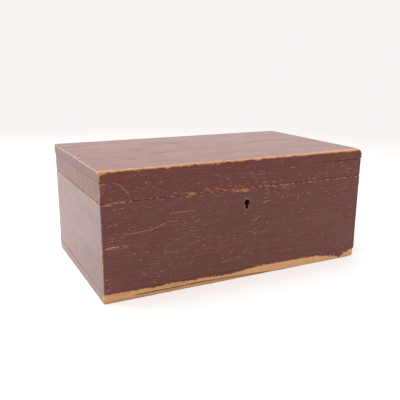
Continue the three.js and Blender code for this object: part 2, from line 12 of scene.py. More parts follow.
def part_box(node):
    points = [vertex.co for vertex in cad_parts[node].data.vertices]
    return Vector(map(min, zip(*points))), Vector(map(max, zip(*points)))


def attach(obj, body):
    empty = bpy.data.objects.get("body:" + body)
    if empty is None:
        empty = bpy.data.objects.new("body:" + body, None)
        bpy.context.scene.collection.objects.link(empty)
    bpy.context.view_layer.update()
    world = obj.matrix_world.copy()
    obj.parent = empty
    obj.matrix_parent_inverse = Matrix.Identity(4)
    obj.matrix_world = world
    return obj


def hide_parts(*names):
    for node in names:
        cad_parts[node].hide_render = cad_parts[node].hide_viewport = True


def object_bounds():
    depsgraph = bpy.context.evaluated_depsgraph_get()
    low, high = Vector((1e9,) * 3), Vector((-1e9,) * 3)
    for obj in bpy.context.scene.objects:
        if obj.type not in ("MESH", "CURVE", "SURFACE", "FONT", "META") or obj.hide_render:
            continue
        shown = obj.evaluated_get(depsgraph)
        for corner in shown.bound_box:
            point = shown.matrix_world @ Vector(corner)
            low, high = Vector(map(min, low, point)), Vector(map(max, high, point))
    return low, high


bl_info = {
    "name": "Painted tea caddy",
    "version": (1, 0, 0),
    "blender": (4, 5, 0),
    "location": "3D View > Sidebar > Tea caddy",
    "description": "Finishes a painted tea caddy round its packed frame",
    "category": "Object",
}

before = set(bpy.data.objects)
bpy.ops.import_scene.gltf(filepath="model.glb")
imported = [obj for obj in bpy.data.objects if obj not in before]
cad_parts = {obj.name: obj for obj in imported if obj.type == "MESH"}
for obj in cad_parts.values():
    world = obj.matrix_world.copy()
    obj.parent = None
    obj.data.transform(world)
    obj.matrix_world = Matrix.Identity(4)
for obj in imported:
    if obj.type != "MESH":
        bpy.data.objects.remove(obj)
CAD_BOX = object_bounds()
MM = 0.001
BOX, LID = "box", "lid"
ENDS = (("left", -1), ("right", 1))
SHEET = 1.2  # thickness of the brass plates, in millimetres
FIT = 0.1  # room round a fitting in the recess made for it
EDGE_STEP = 0.02  # half the width of a wall that is made upright by two grid lines side by side
BOARD = 10  # thickness of the walls and rails, in millimetres
MITRE_RAMP = 14.0  # how far from an end its mitre's shearing reaches
BARREL_ROOM = 2.5  # radius of the hollow round a hinge's barrel
SEAT = 1.8  # radius of a screw's seat in brass
SEAT_DEPTH = 0.42  # its depth in the lock's plates
STAPLE_HALF = 0.8  # half the width of a staple's strip
FAR = 400  # longer than any piece
DENT = 1.6  # radius of the dent round a nail's head
NO_LINES = ((), (), ())  # no grid lines wanted along X, Y and Z


# ---------------------------------------------------------------- measures taken from the frame


def corners(*nodes):
    """Lowest and highest corner, in millimetres, of the box round one or more CAD nodes."""
    found = np.array([[tuple(corner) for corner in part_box(node)] for node in nodes]) / MM
    return found[:, 0].min(axis=0), found[:, 1].max(axis=0)


def middle(node):
    """The middle of a CAD node's box, in millimetres."""
    low, high = corners(node)
    return (low + high) / 2


def box_of(low, high):
    """A box from its lowest and its highest corner."""
    return np.array(low, float), np.array(high, float)


def grown(box, by):
    """A box made larger by a distance on every side, or by one distance for each axis."""
    return box[0] - np.asarray(by), box[1] + np.asarray(by)


BODY = corners("front_board", "back_board", "left_side_board", "right_side_board", "bottom_board")
RAILS = corners("lid_front_rail", "lid_back_rail", "lid_left_rail", "lid_right_rail")
TOP = corners("lid_top_board")
RIM = BODY[1][2]
LID_FOOT = RAILS[0][2]
LID_TOP = TOP[1][2]
HALF_X, HALF_Y = BODY[1][0], BODY[1][1]
INNER_Y = HALF_Y - BOARD
PIN = middle("left_hinge_pin")
PIN_Y, PIN_Z = PIN[1], PIN[2]
KEY = middle("lock_drill_pin")


# ---------------------------------------------------------------- what a user may change


def length(name, text, millimetres):
    return FloatProperty(name=name, description=text, default=millimetres * MM, unit="LENGTH", precision=5)


def angle(name, text, degrees):
    return FloatProperty(name=name, description=text, default=math.radians(degrees), subtype="ANGLE")


def power(name, text, watts):
    return FloatProperty(name=name, description=text, default=watts, min=0, unit="POWER")


def share(name, text, value, top=1.0):
    return FloatProperty(name=name, description=text, default=value, min=0.0, max=top, subtype="FACTOR")


def colour(name, text, rgb):
    return FloatVectorProperty(name=name, description=text, default=rgb, subtype="COLOR", min=0, max=1)


class CaddyShape(bpy.types.PropertyGroup):
    """Sizes of the wear on the boards, and of the grids that they are made of."""

    seam_arris: length("Seam arris", "Radius of the arrises at the lid seam and the bottom board", 0.3)
    corner_arris: length("Corner arris", "Radius of the upright corners", 0.8)
    top_arris: length("Top arris", "Radius of the arrises round the top board", 1.25)
    foot_arris: length("Foot arris", "Radius of the arrises under the bottom board", 1.1)
    worn_corner: length("Worn corner", "Radius of the bottom board's right front corner", 2.8)
    unevenness: length("Unevenness", "How far the planed faces lie back in their hollows", 0.14)
    open_mitre: length("Open mitre", "Opening of the left front mitre below the lid", 0.55)
    seam_drop: length("Seam drop", "How far the lid has sunk onto the rim at the left", 0.26)
    top_crack: length("Top crack", "Opening under the top board at the right front corner", 0.4)
    foot_crack: length("Foot crack", "Depth of the split along the bottom board's front", 0.9)
    fine: length("Fine step", "Grid step beside an arris", 0.18)
    coarse: length("Coarse step", "Grid step in the middle of a face", 2.6)


class CaddyPaint(bpy.types.PropertyGroup):
    """Colours and wear of the painted boards and the bare wood."""

    paint: colour("Paint", "Red-brown milk paint", (0.124, 0.031, 0.0235))
    paint_dark: colour("Dark paint", "Streaks where the paint lies thicker", (0.090, 0.0205, 0.0165))
    paint_brown: colour("Brown paint", "Clouds where the paint has dulled to brown", (0.106, 0.033, 0.026))
    thin_paint: colour("Thin paint", "Orange where the paint is rubbed thin", (0.32, 0.10, 0.048))
    scratch: colour("Scratch", "Dusty scratches and flecks", (0.40, 0.215, 0.165))
    # painted sheen: this grey stands for the bright backdrop's reflection on the left face
    painted_sheen: colour("Painted sheen", "Grey bloom on the left face", (0.34, 0.33, 0.31))
    honey: colour("Honey pine", "Bare pine where the paint is gone", (0.66, 0.37, 0.15))
    tawny: colour("Tawny pine", "Darker lines in the bare pine", (0.43, 0.215, 0.085))
    inside: colour("Inside pine", "Unpainted pine inside the box", (0.33, 0.185, 0.085))
    inside_dark: colour("Dark inside pine", "Grain and stains inside the box", (0.17, 0.08, 0.032))
    roughness: share("Roughness", "Roughness of the sound paint", 0.37)
    flecks: share("Flecks", "Strength of the fine flecks and scratches", 0.88)


class CaddyFittings(bpy.types.PropertyGroup):
    """Colours of the metal and turned fittings."""

    brass: colour("Brass", "Clean brass", (0.38, 0.26, 0.115))
    tarnish: colour("Tarnish", "Brown tarnish on the brass", (0.13, 0.082, 0.038))
    iron: colour("Iron", "Dark forged iron", (0.12, 0.11, 0.105))
    rust: colour("Rust", "Rust on the iron", (0.17, 0.062, 0.024))
    foil: colour("Foil", "Tea foil, a dull lead grey", (0.36, 0.365, 0.37))
    stain: colour("Tea stain", "Brown dust in the foil's creases", (0.10, 0.06, 0.033))
    turned: colour("Turned wood", "Dark polished wood of the knobs", (0.075, 0.027, 0.014))
    crumple: length("Crumple", "How far the foil is pushed in and out", 0.9)


class CaddyStage(bpy.types.PropertyGroup):
    """Camera, floor and lights."""

    azimuth: angle("Azimuth", "Camera's turn from the front", -26.895)
    elevation: angle("Elevation", "Camera's height above the horizon", 14.729)
    roll: angle("Roll", "Camera's roll", 0.465)
    distance: length("Distance", "Camera to the point it looks at", 622.7)
    aim_right: length("Aim right", "Point looked at, right of the middle of the box", -6.15)
    aim_up: length("Aim up", "Point looked at, above the middle of the box", 0.07)
    lens: FloatProperty(name="Lens", description="Focal length in millimetres", default=47.689, unit="CAMERA")
    backdrop: colour("Backdrop", "Colour of the air behind the floor", (0.93, 0.896, 0.888))
    floor: colour("Floor", "Colour of the floor", (0.88, 0.87, 0.865))
    ambient: share("Ambient", "Strength of the light from all round", 1.0, 5.0)
    back_light: power("Back softbox", "Power behind the caddy", 2.2)
    left_light: power("Left softbox", "Power on the left, behind the caddy", 34.0)
    top_light: power("Overhead softbox", "Power overhead", 15.0)


# ---------------------------------------------------------------- surfaces


def ease(values, low, high):
    """0 below low, 1 above high, and 3t² - 2t³ between them."""
    t = np.clip((values - low) / (high - low), 0, 1)
    return t * t * (3 - 2 * t)


def ripple(points, size, seed):
    """Smooth noise, mostly between -1 and 1: nine sine waves in random directions with lengths round
    `size`."""
    random = np.random.default_rng(seed)
    waves = random.normal(size=(9, 3))
    waves /= np.linalg.norm(waves, axis=1, keepdims=True)
    waves *= 2 * np.pi / (size * random.uniform(0.6, 1.7, (9, 1)))
    return np.sin(points @ waves.T + random.uniform(0, 2 * np.pi, 9)).sum(axis=1) / 3


def grid_lines(low, high, fine, coarse, through=()):
    """Grid lines from low to high. Steps start at `fine` at both ends and grow by half each time up to
    `coarse`. Every value of `through` is a line as well, in place of the lines that would crowd it."""
    half = (high - low) / 2
    reach = np.cumsum(np.minimum(fine * 1.5 ** np.arange(300), coarse))
    count = np.searchsorted(reach, half) + 1
    near = np.append(0, reach[:count]) * (half / reach[count - 1])
    lines = np.unique(np.round(np.append(low + near, high - near), 6))
    wanted = np.unique(np.round([v for v in through if low < v < high], 6))
    crowded = np.zeros(len(lines), bool)
    for value in wanted:
        crowded |= abs(lines - value) < fine * 0.6
    crowded[[0, -1]] = False
    return np.union1d(lines[~crowded], wanted)


class Block:
    """A block of grid cells in millimetres, all full at first. Its skin is the surface round the full
    cells."""

    def __init__(self, *lines):
        self.lines = [np.asarray(values, float) for values in lines]
        self.middles = np.meshgrid(*[(values[1:] + values[:-1]) / 2 for values in self.lines], indexing="ij")
        self.full = np.ones(self.middles[0].shape, bool)

    def within(self, box):
        """The cells whose middles lie in a box."""
        found = np.ones(self.full.shape, bool)
        for values, low, high in zip(self.middles, *box):
            found &= (values > low) & (values < high)
        return found

    def empty(self, *boxes):
        """Takes the cells in each box out."""
        for box in boxes:
            self.full &= ~self.within(box)
        return self

    def skin(self):
        """Points and quads of the surface: one quad, facing the empty side, between a full cell and an
        empty one. A grid point's number is (i ny + j) nz + k, and only the points that a quad uses are
        kept."""
        counts = [len(values) for values in self.lines]
        stride = np.array([counts[1] * counts[2], counts[2], 1])
        quads = []
        for axis in range(3):
            u, v = stride[(axis + 1) % 3], stride[(axis + 2) % 3]
            loop = np.array([0, u, u + v, v])
            border = [(0, 0)] * 3
            border[axis] = (1, 1)
            step = np.diff(np.pad(self.full, border).astype(np.int8), axis=axis)
            for value, order in ((-1, loop), (1, loop[::-1])):
                quads.append((np.argwhere(step == value) @ stride)[:, None] + order)
        used, quads = np.unique(np.concatenate(quads), return_inverse=True)
        places = [used // stride[axis] % counts[axis] for axis in range(3)]
        points = np.stack([self.lines[axis][places[axis]] for axis in range(3)], axis=1)
        return points, quads.reshape(-1, 4)


def plank(box, fine, coarse, recesses=(), through=NO_LINES):
    """A box as a block of cells with square recesses, its grid lines finest beside the outer faces."""
    lines = []
    for axis in range(3):
        sides = [recess[end][axis] for recess in recesses for end in (0, 1)]
        step = min(coarse, (box[1][axis] - box[0][axis]) / 3)
        lines.append(grid_lines(box[0][axis], box[1][axis], fine, step, [*sides, *through[axis]]))
    return Block(*lines).empty(*recesses)


def worn(points, box, radius):
    """Rounds the arrises of a box: a point further than `radius` from the smaller box that lies one radius
    inside is drawn towards it to that distance. The radius may differ from point to point."""
    radius = np.broadcast_to(np.asarray(radius, float), len(points))[:, None]
    core = np.clip(points, box[0] + radius, box[1] - radius)
    out = points - core
    far = np.linalg.norm(out, axis=1, keepdims=True)
    return core + out * np.minimum(1, radius / np.maximum(far, 1e-9))


def as_disc(place):
    """The square from -1 to 1 bent into the unit disc: u' = u √(1 - v²/2) and v' = v √(1 - u²/2)."""
    return place * np.sqrt(1 - place[:, ::-1] ** 2 / 2)


def rounded(points, centre, radius, reach, axes=(0, 1)):
    """Turns the square round a centre into a disc. Outside the square, a point takes a share of its nearest
    edge point's move that fades over `reach`."""
    axes = list(axes)
    place = (points[:, axes] - centre) / radius
    edge = np.clip(place, -1, 1)
    disc = as_disc(edge)
    fade = np.clip(1 - np.linalg.norm(place - edge, axis=1) * radius / reach, 0, 1) ** 2
    moved = points.copy()
    moved[:, axes] += (disc - edge) * radius * fade[:, None]
    return moved


def lathe(profile, centre, sides=48, axis=2):
    """A profile of (radius, height) pairs, from pole to pole, carried round an axis through a centre: at
    angle t a pair becomes (r cos t, r sin t, h). The seam and the poles close when doubles are merged."""
    radius, height = np.asarray(profile, float).T
    turn = np.linspace(0, 2 * np.pi, sides + 1)
    ring = np.stack([np.outer(radius, np.cos(turn)), np.outer(radius, np.sin(turn)),
                     np.repeat(height[:, None], sides + 1, axis=1)], axis=-1)
    points = np.roll(ring, axis + 1, axis=-1).reshape(-1, 3) + centre
    start = (np.arange(len(radius) - 1)[:, None] * (sides + 1) + np.arange(sides)).reshape(-1, 1)
    return points, start + np.array([0, 1, sides + 2, sides + 1])


def quarter_turned(points, quarters):
    """Points turned about Z by quarter turns."""
    cosine, sine = ((1, 0), (0, 1), (-1, 0), (0, -1))[quarters % 4]
    x, y, z = np.asarray(points, float).T
    return np.stack([cosine * x - sine * y, sine * x + cosine * y, z], axis=1)


def turned_box(box, quarters):
    """A box turned about Z by quarter turns, as lowest and highest corner again."""
    ends = quarter_turned(np.array(box), quarters)
    return ends.min(axis=0), ends.max(axis=0)


def piece(name, surface, body, stands_for, finish, sharp=38):
    """Makes a piece from points in millimetres and quads. Doubles and flat faces are merged away, the faces
    are turned outwards by the sign of the volume, and edges steeper than `sharp` degrees stay crisp."""
    points, quads = surface
    a, b, c, d = (points[quads[:, k]] for k in range(4))
    volume = np.einsum("ij,ij->", a, np.cross(b, c) + np.cross(c, d))
    if volume < 0:
        quads = quads[:, ::-1]
    mesh = bpy.data.meshes.new(name)
    mesh.from_pydata((points * MM).tolist(), [], quads.tolist())
    work = bmesh.new()
    work.from_mesh(mesh)
    bmesh.ops.remove_doubles(work, verts=work.verts, dist=2e-6)
    bmesh.ops.dissolve_degenerate(work, edges=work.edges, dist=1e-6)
    work.to_mesh(mesh)
    work.free()
    mesh.shade_smooth()
    mesh.set_sharp_from_angle(angle=math.radians(sharp))
    mesh.materials.append(finish)
    made = bpy.data.objects.new(name, mesh)
    bpy.context.scene.collection.objects.link(made)
    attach(made, body)
    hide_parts(*stands_for)
    return made


# ---------------------------------------------------------------- boards


def shape():
    """The shape's sizes in millimetres, by name."""
    group = bpy.context.scene.caddy_shape
    return {name: getattr(group, name) / MM for name in CaddyShape.__annotations__}


def arris_distance(points):
    """Distance of each point from the nearest upright arris of the box."""
    return np.maximum(HALF_X - abs(points[:, 0]), HALF_Y - abs(points[:, 1]))


def board_radius(points, size):
    """Radius of the wear on the walls and rails: the seam's, growing to the corner's beside the upright
    arrises."""
    corner = 1 - ease(arris_distance(points), 0.8, 3.0)
    radius = size["seam_arris"] + (size["corner_arris"] - size["seam_arris"]) * corner
    return radius * (1 + 0.3 * ripple(points, 22, 5))


def filled_joint(points):
    """How far paint fills the joint between rails and top board: 1 along the front, 0 past its right end."""
    x, y, z = points.T
    in_front = 1 - ease(y, -HALF_Y + 1, -HALF_Y + 2.5)
    near_joint = 1 - ease(abs(z - TOP[0][2]), 1, 3)
    return (1 - ease(x, 86, 104)) * in_front * near_joint


def hinge_room(points, into):
    """Lowers a back edge away from the hinge axis (into is -1 below it, 1 above it). A point's distance s
    from the axis, measured up or down, becomes at least (y - pin) tan 50° behind the pin; at a hinge it is
    also at least the leaf's depth, and √(r² - (y - pin)²) round the barrel."""
    leaf = corners("left_hinge_box_leaf")
    x, y = abs(points[:, 0]), points[:, 1]
    behind = y - PIN_Y
    untouched = -1
    need = np.where(behind > 0, behind * math.tan(math.radians(50)), untouched)
    at_hinge = (x > -leaf[1][0] - FIT) & (x < -leaf[0][0] + FIT)
    in_leaf = at_hinge & (y > leaf[0][1] - FIT) & (behind < 0)
    need = np.where(in_leaf, PIN_Z - RIM + SHEET + FIT, need)
    barrel = np.sqrt(np.maximum(BARREL_ROOM ** 2 - behind ** 2, 0))
    need = np.where(at_hinge, np.maximum(need, barrel), need)
    moved = points.copy()
    away = (points[:, 2] - PIN_Z) * into
    moved[:, 2] = PIN_Z + into * np.where(away > untouched, np.maximum(away, need), away)
    return moved


def hinge_lines():
    """Grid lines along X and Y that the hinges' recesses need, the upright walls' lines side by side."""
    leaf = corners("left_hinge_box_leaf")
    ends = [leaf[0][0] - FIT, leaf[1][0] + FIT]
    steps = [v + s for v in (*ends, leaf[0][1] - FIT) for s in (-EDGE_STEP, EDGE_STEP)]
    along = [sign * v for v in steps[:4] for sign in (-1, 1)]
    round_barrel = np.array([-BARREL_ROOM, -2.3, -2, -1.6, -1, -0.4, 0, 0.17, 0.6, 1.1, 1.6, 2])
    across = [*steps[4:], *(PIN_Y + round_barrel)]
    return along, across


def near_end(values, end):
    """0 up to a mitre's ramp short of a board's end, and rising evenly to 1 at the end."""
    return np.clip((values - end + MITRE_RAMP) / MITRE_RAMP, 0, 1)


def mitred(node, quarters, size, recesses=(), through=NO_LINES, seed=1):
    """A wall or rail made as the front one and turned into place. Its long inner arrises are rounded, its
    outer face lies back in gentle hollows, and each end is sheared to 45°: |x| shrinks by the depth below
    the outer face, in full at the end and fading to nothing a ramp's length from it. Two ends meet with
    hardly a gap."""
    low, high = turned_box(corners(node), -quarters)
    sides = [turned_box(recess, -quarters) for recess in recesses]
    points, quads = plank((low, high), size["fine"], size["coarse"], sides, through).skin()
    far = np.array([100, 0, 0])
    arris = size["seam_arris"]
    if quarters == 0:
        arris = arris * (1 - 0.85 * filled_joint(points))
    points = worn(points, (low - far, high + far), arris)
    depth = points[:, 1] - low[1]
    hollow = size["unevenness"] * (0.5 + 0.5 * ripple(points * (0.5, 1, 1), 34, seed)).clip(0, 1)
    points[:, 1] += hollow * (1 - ease(depth, 1, 6))
    closed = 0.19
    reach = near_end(abs(points[:, 0]), high[0])
    points[:, 0] += np.sign(points[:, 0]) * reach * (closed - depth)
    return quarter_turned(points, quarters), quads


def open_left_mitre(points, size, part):
    """How far a board's end lies back from the left front corner: a part of the opening, which grows from
    nothing below the rim to its whole size near it, and a little all the way up the lid."""
    z = points[:, 2]
    in_lid = 0.18
    box_opening = size["open_mitre"] * ease(z, RIM - 34, RIM - 12)
    return part * np.where(z < RIM + 1, box_opening, in_lid)


def make_body_boards(size):
    """The bottom board and the four walls."""
    fit = np.array([FIT, FIT, 1])
    grooves = [grown(corners(f"{side}_partition"), fit * (1, 1, 20)) for side, _ in ENDS]
    plate = corners("lock_plate")
    case = grown(corners("lock_case"), 2 * FIT)
    above = RIM + 1
    open_side = (plate[1][0] + FIT, -INNER_Y + 1, above)
    lock = [
        box_of((plate[0][0] - FIT, plate[1][1] - SHEET - FIT, plate[0][2] - FIT), open_side),
        box_of((plate[0][0] - FIT, plate[0][1] - FIT, RIM - SHEET - FIT), open_side),
        box_of(case[0], (case[1][0], -INNER_Y + 1, above)),
    ]
    head, drop = 3.1, 6.6
    hole = box_of((KEY[0] - head, -HALF_Y - 1, KEY[2] - drop), (KEY[0] + head, -80, KEY[2] + head))
    around = np.array([-1.5, -1, 1, 1.5])
    hole_lines = (
        [*(KEY[0] + head * np.linspace(-1, 1, 13)), *(KEY[0] + around * 4.2), *(KEY[0] + around * 6)],
        (),
        [*(KEY[2] + head * np.linspace(-1, 1, 13)), *(KEY[2] - head - np.linspace(0, drop - head, 7)),
         KEY[2] + 3.6, KEY[2] + 4.4, KEY[2] + 5.6, KEY[2] - 7.1, KEY[2] - 7.9, KEY[2] - 9],
    )
    red_x, red_y = red_paint("X"), red_paint("Y")

    points, quads = mitred("front_board", 0, size, [*grooves, *lock, hole], hole_lines, 11)
    points = shaped_keyhole(points, head, drop)
    points[:, 0] += open_left_mitre(points, size, 1.0) * near_end(-points[:, 0], HALF_X)
    surface = worn(points, BODY, board_radius(points, size)), quads
    piece("front_board_worn", surface, BOX, ["front_board"], red_x)

    along, across = hinge_lines()
    back_lines = (along, [-v for v in across], ())
    points, quads = mitred("back_board", 2, size, grooves, back_lines, 12)
    points = hinge_room(worn(points, BODY, board_radius(points, size)), -1)
    piece("back_board_worn", (points, quads), BOX, ["back_board"], red_x)

    for node, quarters, seed in (("right_side_board", 1, 13), ("left_side_board", 3, 14)):
        points, quads = mitred(node, quarters, size, seed=seed)
        if quarters == 3:
            points[:, 1] += open_left_mitre(points, size, 0.5) * near_end(-points[:, 1], HALF_Y)
        points = hinge_room(worn(points, BODY, board_radius(points, size)), -1)
        piece(f"{node}_worn", (points, quads), BOX, [node], red_y)

    make_bottom_board(size, red_x)


def shaped_keyhole(points, head, drop):
    """Bends a tall square hole into a keyhole. Its upper square becomes the round head by the
    square-to-disc rule; at height v below it the half width is the head's circle down to the neck, then
    grows evenly to the foot. A point outside takes a share of its nearest edge point's move that fades with
    distance, and the mouth is eased open."""
    neck, foot, reach = 1.15, 1.7, 8.0
    place = points[:, [0, 2]] - (KEY[0], KEY[2])
    edge = np.stack([np.clip(place[:, 0], -head, head), np.clip(place[:, 1], -drop, head)], axis=1)
    unit = np.clip(edge / head, -1, 1)
    disc = as_disc(unit) * head
    shoulder = -head * math.sqrt(0.5)
    down = (-head - edge[:, 1]) / (drop - head)
    low = shoulder - down * (drop + shoulder)
    neck_at = -math.sqrt(head ** 2 - neck ** 2)
    arc = np.sqrt(np.maximum(head ** 2 - low ** 2, neck ** 2))
    slope = neck + (foot - neck) * (neck_at - low) / (drop + neck_at)
    half = np.where(low > neck_at, arc, slope)
    slot = np.stack([edge[:, 0] / head * half, low], axis=1)
    target = np.where(down[:, None] > 0, slot, disc)
    away = np.linalg.norm(place - edge, axis=1)
    fade = np.clip(1 - away / reach, 0, 1) ** 2
    spine = np.stack([np.zeros(len(place)), np.clip(place[:, 1], 1.5 - drop, 0)], axis=1)
    out = place - spine
    out /= np.maximum(np.linalg.norm(out, axis=1, keepdims=True), 1e-6)
    depth = points[:, 1] + HALF_Y
    mouth = 0.22 * np.clip(1 - depth / 0.6, 0, 1) ** 2 * fade ** 3
    moved = points.copy()
    moved[:, [0, 2]] += (target - edge) * fade[:, None] + out * mouth[:, None]
    return moved


def nailed_board(box, size, nails, heights, lines_up):
    """A board with a round dent between two heights at each nail."""
    spots = [middle(nail)[:2] for nail in nails]
    dents = [box_of((x - DENT, y - DENT, heights[0]), (x + DENT, y + DENT, heights[1])) for x, y in spots]
    rounds = [[v + DENT * s for v in {round(spot[axis], 4) for spot in spots} for s in (-0.6, 0, 0.6)]
              for axis in (0, 1)]
    points, quads = plank(box, size["fine"], size["coarse"], dents, (*rounds, lines_up)).skin()
    for spot in spots:
        points = rounded(points, spot, DENT, 3.2)
    return points, quads


def make_bottom_board(size, finish):
    """The bottom board: round under its outer arrises, most of all at the right front corner, with nail
    heads' dents below and a split along its front, where y moves in by depth × exp(-(distance / width)²)
    about a wavering line."""
    low, high = corners("bottom_board")
    nails = [f"bottom_nail_{side}_{i}" for side in ("front", "back") for i in (1, 2, 3)]
    split = np.arange(2.6, 5.8, 0.2)
    points, quads = nailed_board((low, high), size, nails, (low[2] - 1, low[2] + 0.55), split)
    x, y, z = points.T
    seam, foot, corner = size["seam_arris"], size["foot_arris"], size["worn_corner"]
    radius = seam + (foot - seam) * (1 - ease(z, 2.5, 7)) * (1 + 0.3 * ripple(points, 16, 21))
    at_corner = 1 - ease(np.hypot(x - HALF_X, y + HALF_Y), 3, 12)
    upright = 1 - ease(arris_distance(points), 0.8, 3)
    radius = np.maximum(radius, seam + (size["corner_arris"] - seam) * upright)
    radius = radius + (corner - radius) * at_corner
    points = worn(points, BODY, radius)
    x, y, z = points.T
    line = 4.0 + 0.6 * np.sin(x / 9 + 1) - 0.2 * np.sin(x / 3.1)
    ends = ease(x, -106, -96) * (1 - ease(x, -52, -38))
    front = 1 - ease(y, -HALF_Y + 0.5, -HALF_Y + 3)
    points[:, 1] += size["foot_crack"] * ends * front * np.exp(-((z - line) / 0.3) ** 2)
    points[:, 1] += 0.25 * ends * front * (1 - ease(z - line, -0.4, 0))
    ragged = (0.12 + 0.12 * ripple(points * (1, 1, 0.3), 9, 22)).clip(0, 1) * front * (1 - ease(z, 8, 9.2))
    points[:, 1] += ragged
    piece("bottom_board_worn", (points, quads), BOX, ["bottom_board"], finish)


def sunk_lid(points, size):
    """The lid's rails rest lower at the left: points at their foot move down, fading to nothing to the
    right and the back. At the right front corner their top edge lies a little lower and leaves a crack
    under the top board."""
    x, y, z = points.T
    moved = points.copy()
    left = (1 - ease(x, 35, 110)) * (1 - ease(y, 30, 80))
    moved[:, 2] -= size["seam_drop"] * left * (1 - ease(z, LID_FOOT, LID_FOOT + 4))
    right = ease(x, 85, 125) * (1 - ease(y, -80, 20))
    moved[:, 2] -= size["top_crack"] * right * ease(z, RAILS[1][2] - 4, RAILS[1][2])
    return moved


def make_lid_boards(size):
    """The lid's top board and its four rails."""
    hook = corners("hook_plate")
    recess = box_of((hook[0][0] - FIT, hook[0][1] - FIT, LID_FOOT - 1),
                    (hook[1][0] + FIT, -INNER_Y + 1, LID_FOOT + SHEET + FIT))
    along, across = hinge_lines()
    whole = (RAILS[0], np.array([RAILS[1][0], RAILS[1][1], LID_TOP + 5]))
    plans = (
        ("lid_front_rail", 0, [recess], NO_LINES, "X"),
        ("lid_right_rail", 1, [], NO_LINES, "Y"),
        ("lid_back_rail", 2, [], (along, [-v for v in across], ()), "X"),
        ("lid_left_rail", 3, [], NO_LINES, "Y"),
    )
    for node, quarters, recesses, through, lengthwise in plans:
        points, quads = mitred(node, quarters, size, recesses, through, 31 + quarters)
        points = sunk_lid(worn(points, whole, board_radius(points, size)), size)
        points = hinge_room(points, 1)
        piece(f"{node}_worn", (points, quads), LID, [node], red_paint(lengthwise))
    make_top_board(size)


def make_top_board(size):
    """The top board: rounded most along its upper arrises, planed slightly hollow, its nail heads in round
    dents."""
    low, high = TOP
    nails = [f"top_nail_{side}_{i}" for side, _ in ENDS for i in (1, 2, 3)]
    points, quads = nailed_board((low, high), size, nails, (LID_TOP - 0.35, LID_TOP + 1), ())
    x, y, z = points.T
    upper = ease(z, LID_TOP - 6, LID_TOP - 2)
    radius = size["seam_arris"] + (size["top_arris"] - size["seam_arris"]) * upper
    corner = 1 - ease(np.maximum(high[0] - abs(x), high[1] - abs(y)), 1, 3.5)
    radius = np.maximum(radius, size["corner_arris"] * corner)
    radius = radius + 1.2 * (1 - ease(np.hypot(x - high[0], y - low[1]), 2, 10)) * upper
    radius = radius * (1 - 0.85 * filled_joint(points))
    radius = radius * (1 + 0.25 * ripple(points, 26, 41))
    hollow = size["unevenness"] * (0.5 + 0.5 * ripple(points * (0.35, 1, 1), 30, 42)).clip(0, 1)
    points[:, 2] -= hollow * ease(z, LID_TOP - 5, LID_TOP - 0.5) * ease(high[1] - abs(y), 0, 6)
    front = 1 - ease(y, low[1] + 1, low[1] + 4)
    points[:, 1] += 0.1 * front * (0.5 + 0.5 * ripple(points, 19, 43)).clip(0, 1)
    surface = worn(points, TOP, radius), quads
    piece("lid_top_board_worn", surface, LID, ["lid_top_board"], red_paint("X"))


# ---------------------------------------------------------------- inside fittings


def make_compartments():
    """The partitions and the ledge strips: planed strips with eased arrises."""
    for side, _ in ENDS:
        node = f"{side}_partition"
        box = corners(node)
        points, quads = plank(box, 0.2, 3).skin()
        radius = 0.35 + 0.75 * ease(points[:, 2], box[1][2] - 4, box[1][2] - 1)
        points = worn(points, box, radius * (1 + 0.2 * ripple(points, 18, 51)))
        piece(f"{node}_planed", (points, quads), BOX, [node], bare_pine("Y"))
        for wall in ("front", "back"):
            node = f"{side}_{wall}_ledge"
            box = corners(node)
            points, quads = plank(box, 0.2, 2).skin()
            points = worn(points, box, 0.5 * (1 + 0.3 * ripple(points, 12, 52)))
            piece(f"{node}_planed", (points, quads), BOX, [node], bare_pine("X"))


def make_linings():
    """The foil linings: thin trays whose walls and floor are pushed in by folds, ridges where |noise| is
    smallest, with an uneven upper edge. Inner and outer faces move together, so the foil keeps its
    thickness."""
    crumple = bpy.context.scene.caddy_fittings.crumple / MM
    thickness = 0.6
    for number, (side, _) in enumerate(ENDS):
        node = f"{side}_foil_lining"
        low, high = corners(node)
        lines = []
        for axis in range(3):
            walls = [high[axis], low[axis] + thickness, high[axis] - thickness * (axis < 2)]
            lines.append(np.unique(np.round([*np.arange(low[axis], high[axis], 2.0), *walls], 4)))
        inner = (low + thickness, np.array([high[0] - thickness, high[1] - thickness, high[2] + 1]))
        points, quads = Block(*lines).empty(inner).skin()
        centre = (low + high) / 2
        half = (high - low) / 2
        nearest = half - abs(points - centre)
        nearest[:, 2] = points[:, 2] - low[2]
        folds = 1 - abs(ripple(points, 17, 61 + number)).clip(0, 1) ** 0.6
        fine = 1 - abs(ripple(points, 6, 63 + number)).clip(0, 1) ** 0.7
        push = crumple * (0.75 * folds + 0.25 * fine)
        for axis in range(3):
            wall = 1 - ease(nearest[:, axis], thickness, 3)
            others = np.minimum.reduce([nearest[:, other] for other in range(3) if other != axis])
            inward = -np.sign(points[:, axis] - centre[axis]) if axis < 2 else 1
            points[:, axis] += inward * push * wall * ease(others, thickness, 9)
        rim = ease(points[:, 2], high[2] - 8, high[2])
        points[:, 2] -= rim * (0.9 + 0.8 * ripple(points * (1, 1, 0), 15, 65)).clip(0, 2)
        piece(f"{node}_crumpled", (points, quads), BOX, [node], tea_foil(), sharp=55)


